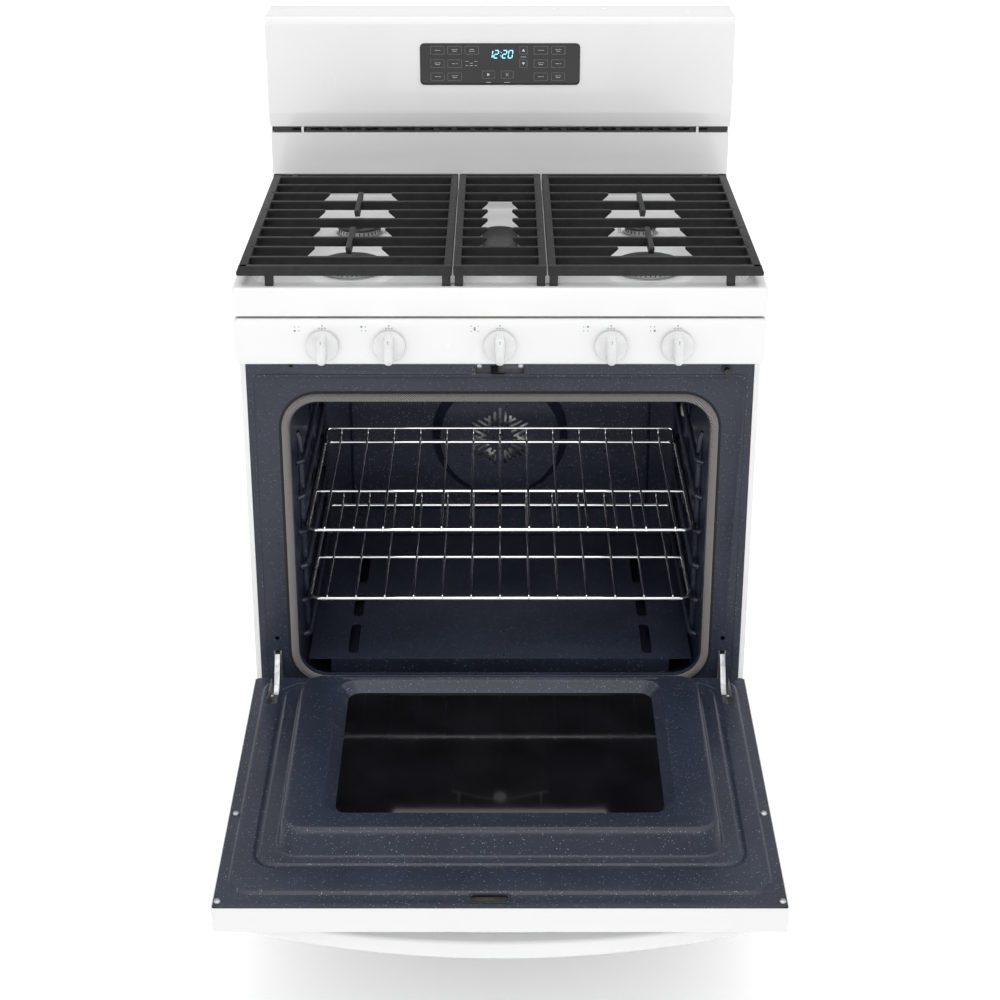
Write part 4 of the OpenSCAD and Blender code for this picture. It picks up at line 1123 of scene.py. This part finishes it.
def handle():
    d, di = 52, 23
    a = hw - 24
    ro = (a * a + d * d) / (2 * d)
    xi = hw - 122
    ri = (xi * xi + di * di) / (2 * di)
    rings = []
    n = 72
    for i in range(n + 1):
        x = -a * math.cos(math.pi * i / n)
        x = max(-a + 0.6, min(a - 0.6, x))
        yo = -50 - d + (ro - math.sqrt(ro * ro - x * x))
        yi = min(-49.8, -50 - di + (ri - math.sqrt(ri * ri - x * x)))
        yi = max(yi, yo + 0.5)
        r = min(5.5, (yi - yo) * 0.45)
        rings.append([door_point(x, y, z) for y, z in rect_loop(yo, yi, z_dt - 31, z_dt - 7, r, 5)])
    bm = skin(rings, True, True)
    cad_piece("door_handle_bar", bm, "white_enamel", "oven_door", ("door_handle",), angle=40, mat=DOOR_WHITE_SHADED)


def drawer():
    z0, z1 = B["drawer_front"][0].z * 1000, B["drawer_front"][1].z * 1000
    dx = hw - 3
    rows = [(-dx + 1.4, dx - 1.4, z0 + 1.4, z1 - 1.4, 2, -4), (-dx, dx, z0, z1, 4, -4),
            (-dx, dx, z0, z1, 4, y_f + 2),
            (-dx + 16, dx - 16, z0 + 16, z1 - 16, 2, y_f + 2)]
    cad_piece("drawer_front_enamel", stack(rows, [0, 0.5, 4, 0], n=6, seg=5), "white_enamel", "drawer",
             ("drawer_front",), angle=50, mat=DOOR_WHITE_SHADED)


cooktop()
burners()
front_panel()
panel_marks()
knobs()
backguard()
cavity()
gasket()
racks()
frame_details()
door()
drawer()
grates()
for node, w in (("oven_front_frame", 0.0005), ("fan_cover", 0.0006), ("oven_bottom_panel", 0.0006),
                ("hinge_arms", 0.0008),
                ("side_panel_left", 0.0005), ("side_panel_right", 0.0005), ("latch_hook", 0.0006),
                ("convection_fan", 0.0003)):
    refine(node, w)

# ---------------------------------------------------------------- stage
def stage():
    bm = bmesh.new()
    size = 9.0
    rows = []
    for i in range(25):
        y = -size + i * (2 * size) / 24
        z = 0.0
        rows.append([bm.verts.new((x, y, z)) for x in (-size, size)])
    for a, b in zip(rows, rows[1:]):
        bm.faces.new((a[0], a[1], b[1], b[0]))
    me = bpy.data.meshes.new("floor")
    bm.to_mesh(me)
    bm.free()
    floor = bpy.data.objects.new("floor", me)
    bpy.context.scene.collection.objects.link(floor)
    dress(floor, floor_mat())


def area(name, loc, target, size, power, size_y=None):
    light = bpy.data.lights.new(name, "AREA")
    light.energy = power
    light.size = size
    if size_y:
        light.shape = "RECTANGLE"
        light.size_y = size_y
    obj = bpy.data.objects.new(name, light)
    bpy.context.scene.collection.objects.link(obj)
    obj.location = loc
    obj.rotation_euler = (Vector(target) - Vector(loc)).to_track_quat("-Z", "Y").to_euler()


stage()
area("key", (-2.6, -3.6, 2.2), (0, 0, 0.6), 1.8, 5)
area("fill", (2.8, -3.4, 1.2), (0, 0, 0.5), 1.8, 4)
area("oven_front", (0, -3.6, 0.45), (0, 0, 0.35), 1.6, 9)
area("guard", (0, -1.3, 2.7), (0, 0.5, 1.05), 1.4, 6)
area("cavity", (0, Y0 + 0.10, 0.695), (0, Y0 + 0.36, 0.35), 0.36, 0.9)
world = bpy.data.worlds.new("studio")
world.use_nodes = True
wt = world.node_tree
sky = wt.nodes.new("ShaderNodeTexCoord")
axis = wt.nodes.new("ShaderNodeSeparateXYZ")
band = wt.nodes.new("ShaderNodeValToRGB")
wt.links.new(sky.outputs["Generated"], axis.inputs["Vector"])
wt.links.new(axis.outputs["Z"], band.inputs["Fac"])
for k, (pos, tone) in enumerate(((0.0, 0.46), (0.25, 0.45), (0.45, 0.24), (0.75, 0.34), (1.0, 1.0))):
    e = band.color_ramp.elements[k] if k < 2 else band.color_ramp.elements.new(pos)
    e.position = pos
    e.color = (tone, tone, tone, 1)
wt.links.new(band.outputs["Color"], wt.nodes["Background"].inputs["Color"])
wt.nodes["Background"].inputs["Strength"].default_value = 2.06
bpy.context.scene.world = world
bpy.context.scene.view_settings.view_transform = "Standard"
